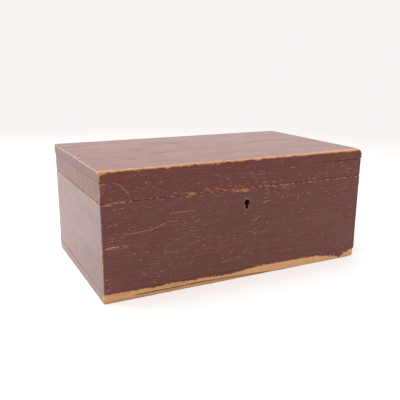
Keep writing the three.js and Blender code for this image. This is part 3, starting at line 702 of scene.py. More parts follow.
def make_inner_lids():
    """The inner lids: thin boards whose top falls from a raised field over a small step and a sloped
    border."""
    bevel, drop, step = 5.0, 2.0, 0.35
    for side, _ in ENDS:
        node = f"{side}_inner_lid"
        low, high = corners(node)
        edges = [[low[a] + bevel - EDGE_STEP, low[a] + bevel + EDGE_STEP, high[a] - bevel - EDGE_STEP,
                  high[a] - bevel + EDGE_STEP] for a in (0, 1)]
        points, quads = plank((low, high), 0.2, 2.5, (), (*edges, ())).skin()
        inset = np.minimum(*[np.minimum(points[:, a] - low[a], high[a] - points[:, a]) for a in (0, 1)])
        slope = drop - (drop - step) * np.clip(inset / bevel, 0, 1)
        fall = np.where(inset > bevel, 0.05 * (1 + ripple(points, 25, 71)), slope)
        points[:, 2] -= fall * (points[:, 2] - low[2]) / (high[2] - low[2])
        flat = (low, np.array([high[0], high[1], high[2] + 5]))
        points = worn(points, flat, 0.35)
        body = f"{side}_inner_lid"
        piece(f"{node}_fielded", (points, quads), body, [node], bare_pine("Y"))


def make_knobs():
    """The knobs: a foot with a bead, a hollow neck, a pressed ball with two fine rings and a button on top,
    all as arcs of (radius, height) carried round the knob's axis."""
    for side, _ in ENDS:
        node = f"{side}_knob"
        low, high = corners(node)
        centre = (low + high) / 2
        foot = corners(f"{side}_inner_lid")[1][2] + FIT
        top = high[2] - foot
        head = (high[0] - low[0]) / 2
        middle_of_ball = top - head * 0.62
        bead = np.radians(np.linspace(-90, 90, 9))
        neck = np.linspace(0, 1, 15)
        ball = np.radians(np.linspace(-52, 74, 33))
        shell = np.stack([(head - 0.02) * np.cos(ball), middle_of_ball + head * 0.62 * np.sin(ball)], axis=1)
        ring = sum(np.exp(-((np.degrees(ball) - at) / 3.5) ** 2) for at in (-18, 18))
        shell[:, 0] -= 0.16 * ring
        button = np.radians(np.linspace(0, 90, 8))
        start = shell[-1]
        profile = [
            (0, -5.5), (2.3, -5.5), (2.3, 0), (4.6, 0),
            *zip(4.45 + 0.55 * np.cos(bead), 0.55 + 0.55 * np.sin(bead)),
            *zip(2.6 + 1.75 * (1 - neck) ** 2.2, 1.15 + 2.2 * neck),
            *shell,
            (start[0] - 0.25, start[1] - 0.12),
            *zip((start[0] - 0.35) * np.cos(button),
                 start[1] - 0.12 + (top - start[1] + 0.1) * np.sin(button)),
        ]
        surface = lathe([(max(r, 0), h) for r, h in profile], (centre[0], centre[1], foot), 64)
        piece(f"{node}_turned", surface, f"{side}_inner_lid", [node], turned_wood())


# ---------------------------------------------------------------- brass and iron


def make_hinges():
    """The hinges: each leaf is one strip of brass, flat under its screws, then bent round the pin. A point
    (s, t, x) goes to the strip's middle line at s, plus t along the line's normal, at x."""
    for side, _ in ENDS:
        for part, into, odd, body in (("box", -1, 0, BOX), ("lid", 1, 1, LID)):
            node = f"{side}_hinge_{part}_leaf"
            surface = hinge_leaf(node, into, odd)
            piece(f"{node}_rolled", surface, body, [node], aged_brass(), sharp=45)
        low, high = corners(f"{side}_hinge_pin")
        reach = (high[0] - low[0]) / 2 - 0.02
        dome = np.radians(np.linspace(0, 90, 6))
        end = [(1.02 * np.sin(a), reach - 0.35 * (1 - np.cos(a))) for a in dome]
        profile = [(r, -h) for r, h in end] + end[::-1]
        surface = lathe(profile, ((low[0] + high[0]) / 2, PIN_Y, PIN_Z), 24, axis=0)
        piece(f"{side}_hinge_pin_drawn", surface, BOX, [f"{side}_hinge_pin"], aged_brass())


def hinge_leaf(node, into, odd):
    """Points and quads of one hinge leaf. Its middle line runs straight, bends by a cubic curve with given
    end slopes, and turns round the pin as an arc; knuckles are the stretches along X where the arc's cells
    are full."""
    low = corners(node)[0]
    side = node.split("_")[0]
    x0, x1 = (corner[0] for corner in corners(f"{side}_hinge_box_leaf"))
    outer, bore = 2.2, 1.08
    thick = outer - bore
    radius = (outer + bore) / 2
    face = RIM if into < 0 else LID_FOOT
    level = (face - PIN_Z) * into + thick / 2 + 0.02
    flat_end, start_angle, end_angle = 84.1, math.radians(-118), math.radians(205)
    arc_start = np.array([PIN_Y + radius * math.cos(start_angle), radius * math.sin(start_angle)])
    begin = np.array([flat_end, -level])
    u = np.linspace(0, 1, 9)[1:-1, None]
    slope = np.array([-math.sin(start_angle), math.cos(start_angle)]) * 2.2
    straight = np.array([2.0, 0])
    bend = ((2 * u ** 3 - 3 * u ** 2 + 1) * begin + (u ** 3 - 2 * u ** 2 + u) * straight
            + (3 * u ** 2 - 2 * u ** 3) * arc_start + (u ** 3 - u ** 2) * slope)
    angles = np.linspace(start_angle, end_angle, 34)
    arc = np.stack([PIN_Y + radius * np.cos(angles), radius * np.sin(angles)], axis=1)
    screws = [middle(f"box_hinge_{side}_{end}_screw") for end in ("outer", "inner")]
    screw_y = screws[0][1]
    screws = [screw[0] for screw in screws]
    ring = SEAT * np.linspace(-1, 1, 9)
    ys = np.unique(np.round([*grid_lines(low[1], flat_end, 0.15, 0.8), *(screw_y + ring)], 5))
    flat = np.stack([ys, np.full(len(ys), -level)], axis=1)
    path = np.concatenate([flat, bend, arc])
    pitch, gap = (x1 - x0) / 5, 0.15
    cuts = [x0 + i * pitch + s for i in range(1, 5) for s in (-gap, gap)]
    xs = np.unique(np.round([*grid_lines(x0, x1, 0.15, 0.8, cuts),
                             *[s + v for s in screws for v in ring]], 5))
    steps = np.append(0, np.cumsum(np.linalg.norm(np.diff(path, axis=0), axis=1)))
    sunk = thick / 2 - 0.4
    ts = np.array([-thick / 2, -thick / 2 + 0.12, 0, sunk, thick / 2 - 0.12, thick / 2])
    block = Block(steps, ts, xs)
    s_mid, t_mid, x_mid = block.middles
    knuckle = np.floor((x_mid - x0) / pitch).astype(int)
    near_cut = abs((x_mid - x0) / pitch - np.round((x_mid - x0) / pitch)) * pitch < gap
    inside = (x_mid > x0 + pitch * 0.5) & (x_mid < x1 - pitch * 0.5)
    own = (knuckle % 2 == odd) & ~(near_cut & inside)
    curl = s_mid > steps[len(flat)]
    block.full &= own | ~curl
    for x in screws:
        square = (abs(x_mid - x) < SEAT) & (abs(s_mid - (screw_y - low[1])) < SEAT) & (t_mid > sunk)
        block.full &= ~square
    points, quads = block.skin()
    for x in screws:
        points = rounded(points, (screw_y - low[1], x), SEAT, 2.6, axes=(0, 2))
    s, t, x = points.T
    tangent = np.gradient(path, steps, axis=0)
    tangent /= np.linalg.norm(tangent, axis=1, keepdims=True)
    line = [np.interp(s, steps, path[:, k]) for k in (0, 1)]
    lead = [np.interp(s, steps, tangent[:, k]) for k in (0, 1)]
    y = line[0] - lead[1] * t
    z = line[1] + lead[0] * t
    return np.stack([x, y, PIN_Z - into * z], axis=1), quads


def screw_surface(node, faces):
    """A countersunk screw as a square bar of cells whose section is turned into a disc of the radius that
    its profile has at that height, with a slot of empty cells across a slightly crowned head."""
    low, high = corners(node)
    axis = 1 if faces in ("back", "front") else 2
    long_side = high[axis] - low[axis]
    slot_half, slot_depth, head, shank = 0.15, 0.55, 1.7, 0.9
    side = np.unique(np.round([*np.linspace(-1, 1, 13), -slot_half, slot_half], 4))
    tip = long_side - np.array([1.2, 0.4, 0.1])
    depths = [0, 0.08, 0.2, 0.45, slot_depth, 0.9, 1.2, 2.5, 4, 5, 6, *tip]
    heights = -np.unique(np.round(depths, 3))[::-1]
    block = Block(side, side, heights)
    block.empty((np.array([-2, -slot_half, -slot_depth]), np.array([2, slot_half, 1])))
    points, quads = block.skin()
    z = points[:, 2]
    profile = np.interp(-z, [0, 0.08, 0.9, long_side - 2, long_side - 0.1],
                        [head - 0.1, head, shank, shank, 0.12])
    disc = as_disc(points[:, :2])
    flat = np.linalg.norm(disc, axis=1)
    spread = disc * profile[:, None]
    crown = 0.07 * (1 - flat ** 2) * (z > -0.05)
    turn = {"up": 0.3, "down": 1.1, "back": 0.7}[faces]
    seed = sum(ord(letter) for letter in node)
    turn += seed % 7 * 0.4
    u = spread[:, 0] * math.cos(turn) - spread[:, 1] * math.sin(turn)
    v = spread[:, 0] * math.sin(turn) + spread[:, 1] * math.cos(turn)
    w = z + crown
    centre = (low + high) / 2
    below = 0.07
    if faces == "up":
        return np.stack([centre[0] + u, centre[1] + v, high[2] + w - below], axis=1), quads
    if faces == "down":
        return np.stack([centre[0] + u, centre[1] - v, low[2] - w + below], axis=1), quads
    return np.stack([centre[0] + u, high[1] + w - below, centre[2] - v], axis=1), quads


def make_screws():
    """The slotted brass screws of the hinges, the lock and the hook plate."""
    sets = [(f"box_hinge_{side}_{end}_screw", "up", BOX) for side, _ in ENDS for end in ("outer", "inner")]
    sets += [(f"lid_hinge_{side}_{end}_screw", "down", LID) for side, _ in ENDS for end in ("outer", "inner")]
    for side, _ in ENDS:
        sets += [(f"lock_selvedge_{side}_screw", "up", BOX), (f"lock_plate_{side}_screw", "back", BOX),
                 (f"hook_plate_{side}_screw", "down", LID)]
    for node, faces, body in sets:
        piece(f"{node}_slotted", screw_surface(node, faces), body, [node], aged_brass())


def make_nails():
    """The cut nails: hammered, slightly domed heads on square shanks that taper to a point."""
    sets = [(f"top_nail_{side}_{i}", 1, LID) for side, _ in ENDS for i in (1, 2, 3)]
    sets += [(f"bottom_nail_{side}_{i}", -1, BOX) for side in ("front", "back") for i in (1, 2, 3)]
    for number, (node, up, body) in enumerate(sets):
        low, high = corners(node)
        long_side = high[2] - low[2]
        head, neck = 1.5, 0.6
        side = np.linspace(-1, 1, 11)
        depths = [long_side - 0.2, long_side - 3, 12, 5, neck + EDGE_STEP, neck - EDGE_STEP, 0.35, 0.12, 0]
        points, quads = Block(side, side, -np.array(depths)).skin()
        x, y, z = points.T
        disc = as_disc(points[:, :2])
        in_head = (z > -neck)[:, None]
        width = np.interp(-z, [neck, long_side - 3, long_side], [0.62, 0.45, 0.08])[:, None]
        rim = np.where(z > -0.05, head - 0.16, head)[:, None]
        flat = np.where(in_head, disc * rim * (1 + 0.05 * ripple(points * 9, 9, 80 + number))[:, None],
                        np.stack([x, y], axis=1) * width)
        dome = 0.1 * (1 - np.linalg.norm(disc, axis=1) ** 2) + 0.05 * ripple(points, 0.9, 90 + number)
        w = z + np.where(z > -0.05, dome - 0.12, 0)
        face = high[2] if up > 0 else low[2]
        centre = (low + high) / 2
        points = np.stack([centre[0] + flat[:, 0], centre[1] + up * flat[:, 1], face + up * w], axis=1)
        piece(f"{node}_cut", (points, quads), body, [node], dark_iron())


def make_lock_plate(staple_x, staple_y):
    """The lock plate and its selvedge, as cells with slots for the staples, round screw seats and eased
    arrises."""
    plate = corners("lock_plate")
    room = 0.5
    face = plate[1][1]
    screws = [middle(f"lock_selvedge_{side}_screw") for side, _ in ENDS]
    back_screws = [middle(f"lock_plate_{side}_screw") for side, _ in ENDS]
    empty = [box_of(plate[0] - 1, (plate[1][0] + 1, face - SHEET, RIM - SHEET))]
    for x in staple_x:
        empty.append(box_of((x - STAPLE_HALF - room, staple_y[0] - room, RIM - 3),
                            (x + STAPLE_HALF + room, face - SHEET, RIM + 1)))
    for x, y, _ in screws:
        empty.append(box_of((x - SEAT, y - SEAT, RIM - SEAT_DEPTH), (x + SEAT, y + SEAT, RIM + 1)))
    for x, _, z in back_screws:
        empty.append(box_of((x - SEAT, face - SEAT_DEPTH, z - SEAT), (x + SEAT, face + 1, z + SEAT)))
    ring = SEAT * np.linspace(-1, 1, 7)
    through = ([s[0] + v for s in screws for v in ring], [s[1] + v for s in screws for v in ring],
               [s[2] + v for s in back_screws for v in ring])
    points, quads = plank(plate, 0.15, 1.2, empty, through).skin()
    for s in screws:
        in_selvedge = (points[:, 2] > RIM - SHEET - 0.2)[:, None]
        points = np.where(in_selvedge, rounded(points, s[:2], SEAT, 2.2), points)
    for s in back_screws:
        low_down = (points[:, 2] < RIM - 15)[:, None]
        points = np.where(low_down, rounded(points, (s[0], s[2]), SEAT, 1.05, axes=(0, 2)), points)
    points = worn(points, plate, 0.22)
    piece("lock_plate_filed", (points, quads), BOX, ["lock_plate"], aged_brass())


def make_hook_plate(staple_x, staple_y):
    """The hook plate and its two eyed staples, as cells with round screw seats, eased arrises and rounded
    tips."""
    hook = corners("hook_plate")
    strip, eye_foot, eye_top = 0.8, RIM - 4.6, RIM - 2.0
    screws = [middle(f"hook_plate_{side}_screw") for side, _ in ENDS]
    below = box_of(hook[0] - 1, (hook[1][0] + 1, hook[1][1] + 1, LID_FOOT))
    ring = SEAT * np.linspace(-1, 1, 7)
    lines = (
        [*[x + STAPLE_HALF * s for x in staple_x for s in (-1, 1)],
         *[s[0] + v for s in screws for v in ring]],
        [*staple_y, staple_y[0] + strip, staple_y[1] - strip, *[s[1] + v for s in screws for v in ring],
         *np.linspace(*staple_y, 11)],
        [LID_FOOT, LID_FOOT + SEAT_DEPTH, eye_foot, eye_top],
    )
    block = plank(hook, 0.15, 0.9, (), lines)
    staples = np.zeros(block.full.shape, bool)
    for x in staple_x:
        staples |= block.within(box_of((x - STAPLE_HALF, staple_y[0], hook[0][2] - 1),
                                       (x + STAPLE_HALF, staple_y[1], LID_FOOT + 0.1)))
    block.full &= ~block.within(below) | staples
    block.empty(box_of((hook[0][0], staple_y[0] + strip, eye_foot),
                       (hook[1][0], staple_y[1] - strip, eye_top)))
    for x, y, _ in screws:
        block.empty(box_of((x - SEAT, y - SEAT, LID_FOOT - 1), (x + SEAT, y + SEAT, LID_FOOT + SEAT_DEPTH)))
    points, quads = block.skin()
    for s in screws:
        points = rounded(points, s[:2], SEAT, 2.2)
    points = worn(points, hook, 0.2)
    drop = LID_FOOT - points[:, 2]
    tip = box_of((-FAR, staple_y[0], hook[0][2]), (FAR, staple_y[1], LID_FOOT + FAR))
    points = np.where((drop > 0.3)[:, None], worn(points, tip, 0.95), points)
    piece("hook_plate_filed", (points, quads), LID, ["hook_plate"], aged_brass())


def make_lock():
    """The lock plate and the hook plate. The case, spring, drill pin and bolt keep their shape and get
    their iron."""
    staple_x = [KEY[0] - 8, KEY[0] + 8]
    bolt_y = middle("lock_bolt")[1]
    staple_y = (bolt_y - 2, bolt_y + 2)
    make_lock_plate(staple_x, staple_y)
    make_hook_plate(staple_x, staple_y)
    for node in ("lock_case", "lock_spring", "lock_drill_pin", "lock_bolt"):
        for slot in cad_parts[node].material_slots:
            slot.material = dark_iron()


# ---------------------------------------------------------------- finishes


class Field:
    """A number that changes over a surface. Arithmetic on it adds nodes to its finish."""

    def __init__(self, finish, socket):
        self.finish, self.socket = finish, socket

    def maths(self, operation, *others):
        return self.finish.maths(operation, self, *others)

    def __add__(self, other):
        return self.maths("ADD", other)

    def __sub__(self, other):
        return self.maths("SUBTRACT", other)

    def __rsub__(self, other):
        return self.finish.maths("SUBTRACT", other, self)

    def __mul__(self, other):
        return self.maths("MULTIPLY", other)

    def __truediv__(self, other):
        return self.maths("DIVIDE", other)

    def __abs__(self):
        return self.maths("ABSOLUTE")

    __radd__, __rmul__ = __add__, __mul__

    def least(self, *others):
        found = self
        for other in others:
            found = found.maths("MINIMUM", other)
        return found

    def most(self, *others):
        found = self
        for other in others:
            found = found.maths("MAXIMUM", other)
        return found

    def rise(self, low, high):
        """0 below low and 1 above high, smooth between them."""
        return self.finish.mapped(self, low, high, 0, 1)

    def fall(self, low, high):
        """1 below low and 0 above high, smooth between them."""
        return self.finish.mapped(self, low, high, 1, 0)


class Finish:
    """A material whose nodes are added as it is described."""

    def __init__(self, name):
        self.material = bpy.data.materials.new(name)
        self.material.use_nodes = True
        self.tree = self.material.node_tree
        self.tree.nodes.clear()

    def node(self, kind, inputs=None, **settings):
        """Adds a node, sets it, and gives its inputs a value or a link each, by name or number."""
        made = self.tree.nodes.new("ShaderNode" + kind)
        for name, value in settings.items():
            setattr(made, name, value)
        for key, value in (inputs or {}).items():
            value = value.socket if isinstance(value, Field) else value
            if isinstance(value, bpy.types.NodeSocket):
                self.tree.links.new(value, made.inputs[key])
            else:
                made.inputs[key].default_value = value
        return made

    def maths(self, operation, *values):
        made = self.node("Math", dict(enumerate(values)), operation=operation)
        return Field(self, made.outputs[0])

    def mapped(self, value, low, high, start, end):
        made = self.node("MapRange", {0: value, 1: low, 2: high, 3: start, 4: end},
                         interpolation_type="SMOOTHSTEP")
        return Field(self, made.outputs[0])

    def place(self):
        """The point's x, y and z in millimetres."""
        coordinates = self.node("TexCoord").outputs["Object"]
        scaled = self.node("VectorMath", {0: coordinates, "Scale": 1 / MM}, operation="SCALE").outputs[0]
        split = self.node("SeparateXYZ", {0: scaled})
        return [Field(self, split.outputs[k]) for k in range(3)]

    def vector(self, x, y, z):
        return self.node("CombineXYZ", {0: x, 1: y, 2: z}).outputs[0]

    def noise(self, x, y, z, detail=3.0, roughness=0.55, distortion=0.0):
        """Cloudy noise from 0 to 1 about 0.5, one cloud to a unit."""
        made = self.node("TexNoise", {"Vector": self.vector(x, y, z), "Scale": 1.0, "Detail": detail,
                                      "Roughness": roughness, "Distortion": distortion})
        return Field(self, made.outputs[0])

    def cells(self, x, y, z):
        """Distance to the nearest of many scattered points, and a random number for that point."""
        made = self.node("TexVoronoi", {"Vector": self.vector(x, y, z), "Scale": 1.0})
        shade = self.node("SeparateColor", {0: made.outputs["Color"]})
        return Field(self, made.outputs["Distance"]), Field(self, shade.outputs[0])

    def curve(self, value, low, high, points, top):
        """A curve through (value, result) points, for values from low to high and results from 0 to top."""
        share_of = self.node("MapRange", {0: value, 1: low, 2: high, 3: 0, 4: 1})
        made = self.node("FloatCurve", {"Value": share_of.outputs[0]})
        line = made.mapping.curves[0]
        while len(line.points) < len(points):
            line.points.new(0.5, 0.5)
        for point, (at, result) in zip(line.points, points):
            point.location = ((at - low) / (high - low), result / top)
            point.handle_type = "VECTOR"
        made.mapping.update()
        return Field(self, made.outputs[0]) * top

    def mix(self, share_of, first, second):
        """The first colour where the share is 0, the second where it is 1."""
        def paint(value):
            return (*value, 1.0) if not isinstance(value, bpy.types.NodeSocket) else value
        made = self.node("Mix", {0: share_of, 6: paint(first), 7: paint(second)}, data_type="RGBA")
        return made.outputs[2]

    def done(self, base, roughness, height, metallic=0.0, **fixed):
        """Ends in one Principled shader; the height is in millimetres."""
        bump = self.node("Bump", {"Height": height, "Strength": 1.0, "Distance": MM})
        shader = self.node("BsdfPrincipled", {"Base Color": base, "Roughness": roughness,
                                              "Metallic": metallic, "Normal": bump.outputs[0], **fixed})
        self.node("OutputMaterial", {"Surface": shader.outputs[0]})
        return self.material


def once(make):
    """Makes a material the first time it is asked for, and gives the same one after that."""
    made = {}

    def ask(*which):
        if which not in made:
            made[which] = make(*which)
        return made[which]

    ask.__doc__ = make.__doc__
    return ask


def grain(finish, along, across, up, fine=1.0):
    """Pine's lengthwise grain, 0 to 1: wide bands warped by slow noise, and fine pores over them."""
    bands = finish.noise(along / 90, across / 5, up / 5, 3, 0.6, 0.4)
    pores = finish.noise(along / 16, across / (0.7 * fine), up / (0.7 * fine), 3, 0.6)
    return (bands * 0.6 + pores * 0.4 - 0.32) * 2.8


# Long scratches on the front as (x, z) at both ends, with half their width
SCRATCHES = (
    (-125, 66.0, -102.5, 67.3, 0.32), (-102.5, 67.3, -84.5, 73.2, 0.42), (-84.5, 73.2, -76.5, 72.4, 0.3),
    (-84, 80.6, -67, 80.9, 0.42), (-67, 80.9, -58, 80.8, 0.25), (-139, 116, -132, 112.6, 0.3),
    (-132, 112.6, -124.5, 104.3, 0.33), (-108, 113, -104, 111.2, 0.4), (22, 79.4, 31, 81.2, 0.35),
    (11, 61, 18.5, 66, 0.3), (-88.9, 41, -88.9, 45.5, 0.3), (45, 81.5, 46.5, 84.5, 0.35),
    (66.2, 78.6, 66.8, 82.2, 0.45), (78, 83.6, 82.5, 83.4, 0.45), (54, 114, 61, 113.4, 0.35),
    (-66, 95.2, -62, 94.8, 0.6), (-35, 113.4, -32, 113, 0.45),
)

# Rubbed places on the front as (x, z, half width, half height, strength)
RUBBED = (
    (-135, 62, 15, 5, 0.3), (-138, 54.5, 14, 2.4, 0.42), (-141, 50, 8, 9, 0.24), (-6, 95.4, 12, 2.2, 0.5),
    (0, 94.6, 6, 1.6, 0.62), (-24, 99, 32, 4.5, 0.3), (-149, 109, 3.4, 10, 0.27), (-118, 61, 10, 4, 0.22),
    (-146, 20, 5, 14, 0.24), (30, 104, 34, 6, 0.2), (-60, 98, 26, 2.4, 0.34), (-146, 96.0, 6, 1.1, 0.6),
)

# Dull smudges on the lid's top as (x, y, half length, half width)
SMUDGES = ((-66, -17, 11, 3.5), (-104, -41, 7, 3), (-132, 57, 12, 3), (-20, 40, 14, 3), (70, 10, 16, 3))


def ellipse(u, v, centre, halves):
    """0 at a centre, 1 on an ellipse of these half sizes round it, growing with the distance squared."""
    u, v = (u - centre[0]) / halves[0], (v - centre[1]) / halves[1]
    return u * u + v * v


def painted_place(m, lengthwise):
    """What the parts of the painted finish share at a point: its place, its distances from the outer faces,
    the nearest arris and the lid seam, the face that it is on, and noises from broad clouds to
    hairlines."""
    x, y, z = m.place()
    along, across = (x, y) if lengthwise == "X" else (y, x)
    from_end = (HALF_X - abs(x)).most(0)
    from_front = (HALF_Y - abs(y)).most(0)
    from_top = (LID_TOP - z).most(0)
    from_level = from_top.least(z)
    nearest = from_end.least(from_front, from_level)
    return SimpleNamespace(
        x=x, y=y, z=z, along=along, across=across, from_front=from_front, from_top=from_top,
        arris=from_end + from_front + from_level - nearest - from_end.most(from_front, from_level),
        painted=from_end.least(from_front, from_top).fall(0.75, 1.0),
        on_front=y.fall(-HALF_Y + 1.0, -HALF_Y + 1.6),
        on_left=x.fall(-HALF_X + 0.8, -HALF_X + 1.4),
        on_top=z.rise(LID_TOP - 1.4, LID_TOP - 0.8),
        seam=abs(z - (RIM + LID_FOOT) / 2),
        cloud=m.noise(x / 26, y / 26, z / 26, 4, 0.6),
        blot=m.noise(x / 9 + 40, y / 9, z / 9, 4, 0.6),
        fleck=m.noise(x / 1.7, y / 1.7 + 9, z / 1.7, 2, 0.6),
        streak=m.noise(along / 45, across / 1.6, z / 1.6, 4, 0.65),
        bands=m.noise(along / 160 + 7, across / 9, z / 9, 3, 0.6),
        dash=m.noise(along / 6.5, across / 1.15, z / 1.15 + 5, 2, 0.5),
        hair=m.noise(along / 17, across / 0.8 + 3, z / 0.8, 2, 0.5),
        zone=m.noise(x / 38 + 3, y / 38, z / 16, 3, 0.6),
        dashes=m.noise(x / 7 + 11, y / 6, z / 2.5, 3, 0.6).rise(0.47, 0.6),
    )


def paint_wear(m, p):
    """How worn the paint is: thin from about 0.4 up and gone from about 0.7 up. It is worn most along the
    arrises, the top's front edge, both sides of the lid seam and the left front corner, and in the rubbed
    places."""
    x, y, z = p.x, p.y, p.z
    grit = (p.fleck - 0.5) * 1.1 + (p.blot - 0.5) * 0.9
    width = 0.22 + p.blot.rise(0.45, 0.72) * 0.75
    wear = 0.95 - p.arris / width + grit

    front_top = ((y + HALF_Y) * 0.55).most(p.from_top)
    left_end = x.fall(-HALF_X + 2, -HALF_X + 14)
    front_width = 2.1 + p.blot.rise(0.4, 0.7) * 1.5 + left_end * 1.2
    wear = wear.most(1.12 - front_top / front_width + grit * 0.9)
    spread = 2.4 + m.noise(x / 9, y / 5, 2.0, 3, 0.6).rise(0.35, 0.62) * 5.5
    right_top = x.rise(66, 118) * p.on_top * spread
    wear = wear.most(1.05 - front_top / (right_top + 0.05) + grit)

    left_part = x.fall(20, 75) * 0.55 + 0.45
    past_front = p.from_front.fall(1, 2)
    wear = wear.most((1.05 - p.seam / (0.12 + p.dashes)) * left_part * past_front + grit * 0.4)
    wear = wear.most((1.1 - p.seam / (0.7 + p.dashes * 1.5)) * p.on_left + grit * 0.6)

    corner = (x + HALF_X).most(y + HALF_Y)
    corner_run = z.fall(52, 66).most(z.rise(98, 101)) * 0.9 + 0.25
    ragged = m.noise(3.0, y / 9, z / 5, 3, 0.6).rise(0.35, 0.7)
    wear = wear.most(1.0 - corner / ((0.45 + ragged) * corner_run) + grit * 0.6)

    broken = (p.hair - 0.5) * 2.6 + (p.dash - 0.5) * 1.6 + (p.fleck - 0.5) * 1.2
    for px, pz, half_width, half_height, strength in RUBBED:
        spot = ellipse(x, z, (px, pz), (half_width, half_height))
        wear = wear.most((strength + broken * 0.5) * spot.fall(0.15, 1.7) * p.on_front)
    near_seam = ellipse(y, z, (-66, 95.6), (28, 2.4))
    return wear.most((0.5 + broken * 0.4) * near_seam.fall(0.1, 1.6) * p.on_left)


def front_foot(m, p):
    """The bare foot of the front: how bare it is below a ragged line, and how near to that line."""
    x, z = p.x, p.z
    foot_line = m.curve(x, -153, 153, (
        (-153, 9.6), (-116, 9.2), (-98, 8.4), (-84, 9.6), (-58, 7.8), (-48, 9.0), (-36, 7.2), (-8, 7.2),
        (6, 9.2), (26, 10.0), (70, 9.2), (96, 8.6), (110, 6.6), (122, 4.4), (130, 1.4), (136, 5.4),
        (153, 10.4)), 12)
    jag = (m.noise(x / 4, 1.0, z / 5, 3, 0.7) - 0.5) * 5.5 + (p.fleck - 0.5) * 1.6
    below = foot_line + jag * (1 + x.rise(70, 100) * 0.9) - z
    remnant = m.noise(x / 5, 4.0, z / 1.7, 3, 0.6).rise(0.66, 0.71) * below.fall(3.5, 6)
    on_face = p.from_front.fall(1.2, 1.6) * p.y.fall(-80, -79)
    bare = (below.rise(-0.1, 0.25) - remnant * 0.85).most(0) * on_face
    return bare, abs(below - 0.5).fall(0.1, 0.9) * bare


def paint_marks(m, p, flecks):
    """The pale marks: specks, dust, dashes and hairlines, a dusty lip along the seam's right, long
    scratches."""
    x, y, z = p.x, p.y, p.z
    busy = p.zone.rise(0.38, 0.62) * 0.75 + p.seam.fall(3, 26) * 0.4
    scattered, chance = m.cells(x / 7.5, y / 7.5, z / 9)
    speck = scattered.fall(0.05, 0.12) * chance.rise(0.55, 0.62)
    small, small_chance = m.cells(x / 3.2 + 5, y / 3.2, z / 1.9)
    dust = small.fall(0.12, 0.3) * small_chance.rise(0.6, 0.7) * busy
    dash_mark = p.dash.rise(0.63, 0.74) * busy
    hair_mark = p.hair.rise(0.62, 0.74) * p.zone.fall(0.45, 0.75)
    lip_run = m.noise(x / 6 + 30, 1.0, 1.0, 2, 0.6).rise(0.46, 0.58)
    lip = abs(z - RIM + 0.6).fall(0.35, 0.95) * x.rise(8, 40) * lip_run
    marks = (speck * 0.8).most(dash_mark * 0.85, hair_mark * 0.4, dust * 0.6, lip * 0.9)
    lines = []
    for x0, z0, x1, z1, half in SCRATCHES:
        dx, dz = x1 - x0, z1 - z0
        t = (((x - x0) * dx + (z - z0) * dz) / (dx * dx + dz * dz)).least(1).most(0)
        off_x, off_z = x - x0 - t * dx, z - z0 - t * dz
        lines.append((off_x * off_x + off_z * off_z).maths("POWER", 0.5).fall(half * 0.5, half * 1.6))
    scratched = lines[0].most(*lines[1:]) * p.on_front * p.fleck.rise(0.3, 0.56)
    return (marks * flecks).most(scratched * 0.62)


def paint_coat(m, p, look, thin):
    """The paint's colour, and how mottled and how smudged it is: streaks and clouds, a redder lid front, a
    paler top, a dusty left face, and orange where the paint is thin."""
    x, y, z = p.x, p.y, p.z
    coat = m.mix(p.streak.rise(0.3, 0.7), look.paint_dark, look.paint)
    coat = m.mix(p.cloud.rise(0.42, 0.7) * 0.7, coat, look.paint_brown)
    coat = m.mix(p.on_top * (0.08 + p.bands.rise(0.35, 0.7) * 0.16), coat, look.thin_paint)
    coat = m.mix(p.on_front * z.rise(96.5, 97.5) * 0.45, coat, (0.118, 0.0215, 0.0155))
    mottle = (p.blot.rise(0.5, 0.64) * 0.5 + p.fleck.rise(0.55, 0.68) * 0.5) * p.on_left
    coat = m.mix(mottle * 0.6, coat, (0.066, 0.018, 0.014))
    spots = [ellipse(x, y, (px, py), (half_x, half_y)) for px, py, half_x, half_y in SMUDGES]
    smudge = spots[0].least(*spots[1:]).fall(0.1, 1.3) * p.streak.rise(0.3, 0.55) * p.on_top
    smudge = smudge.most(p.streak.fall(0.36, 0.5) * p.cloud.rise(0.4, 0.6) * p.on_top * 0.6)
    coat = m.mix(smudge * 0.7, coat, (0.05, 0.014, 0.011))
    coat = m.mix((y + HALF_Y).fall(2, 15) * x.rise(30, 120) * p.on_top * 0.5, coat, look.thin_paint)
    coat = m.mix(p.on_left * z.fall(9, 10) * 0.18, coat, look.thin_paint)
    # painted sheen: grey mixed in clouds into the left face below the lid, standing for the backdrop's
    # reflection
    coat = m.mix(p.on_left * z.fall(94, 97) * (0.1 + p.cloud * 0.22), coat, look.painted_sheen)
    coat = m.mix(p.on_front * x.rise(20, 130) * 0.1, coat, (0.20, 0.045, 0.035))
    rubbed = m.mix(p.fleck.rise(0.3, 0.7), look.thin_paint, (0.40, 0.17, 0.075))
    return m.mix(thin * 0.8, coat, rubbed), mottle, smudge


def worn_wood(m, p, look, foot_edge):
    """The wood that wear lays bare outside, with the split along its foot, stained paint at the ragged
    line, and grime."""
    x, z = p.x, p.z
    ring = grain(m, x, p.y, z)
    wood = m.mix(ring.rise(0.2, 0.9), look.tawny, look.honey)
    wood = m.mix(x.rise(-150, 150) * 0.45, wood, (0.60, 0.33, 0.16))
    split_z = 4.1 - x.rise(-50, 40) * 2.6 + (m.noise(x / 14, 2.0, 2.0, 2, 0.5) - 0.5) * 1.2
    split_run = x.rise(-124, -116) * x.fall(20, 40) * p.on_front
    # the wood below the split is darker, and the split itself is painted shade, a nearly black line
    wood = m.mix((split_z - z).rise(0, 0.5) * split_run * 0.4, wood, (0.33, 0.16, 0.075))
    wood = m.mix(abs(z - split_z).fall(0.3, 0.75) * split_run * 0.85, wood, (0.045, 0.018, 0.011))
    wood = m.mix(foot_edge * 0.7, wood, (0.45, 0.15, 0.05))
    wood = m.mix(z.rise(90, 95) * 0.6, wood, look.tawny)
    # painted shade where the foot meets the floor, darkest in its lowest millimetre and a half, with dark
    # flecks of dirt
    foot_shade_and_grime = z.fall(0.3, 1.5) * 0.85 + p.fleck.rise(0.62, 0.8) * 0.2
    return m.mix(foot_shade_and_grime.least(0.9), wood, (0.20, 0.085, 0.035))


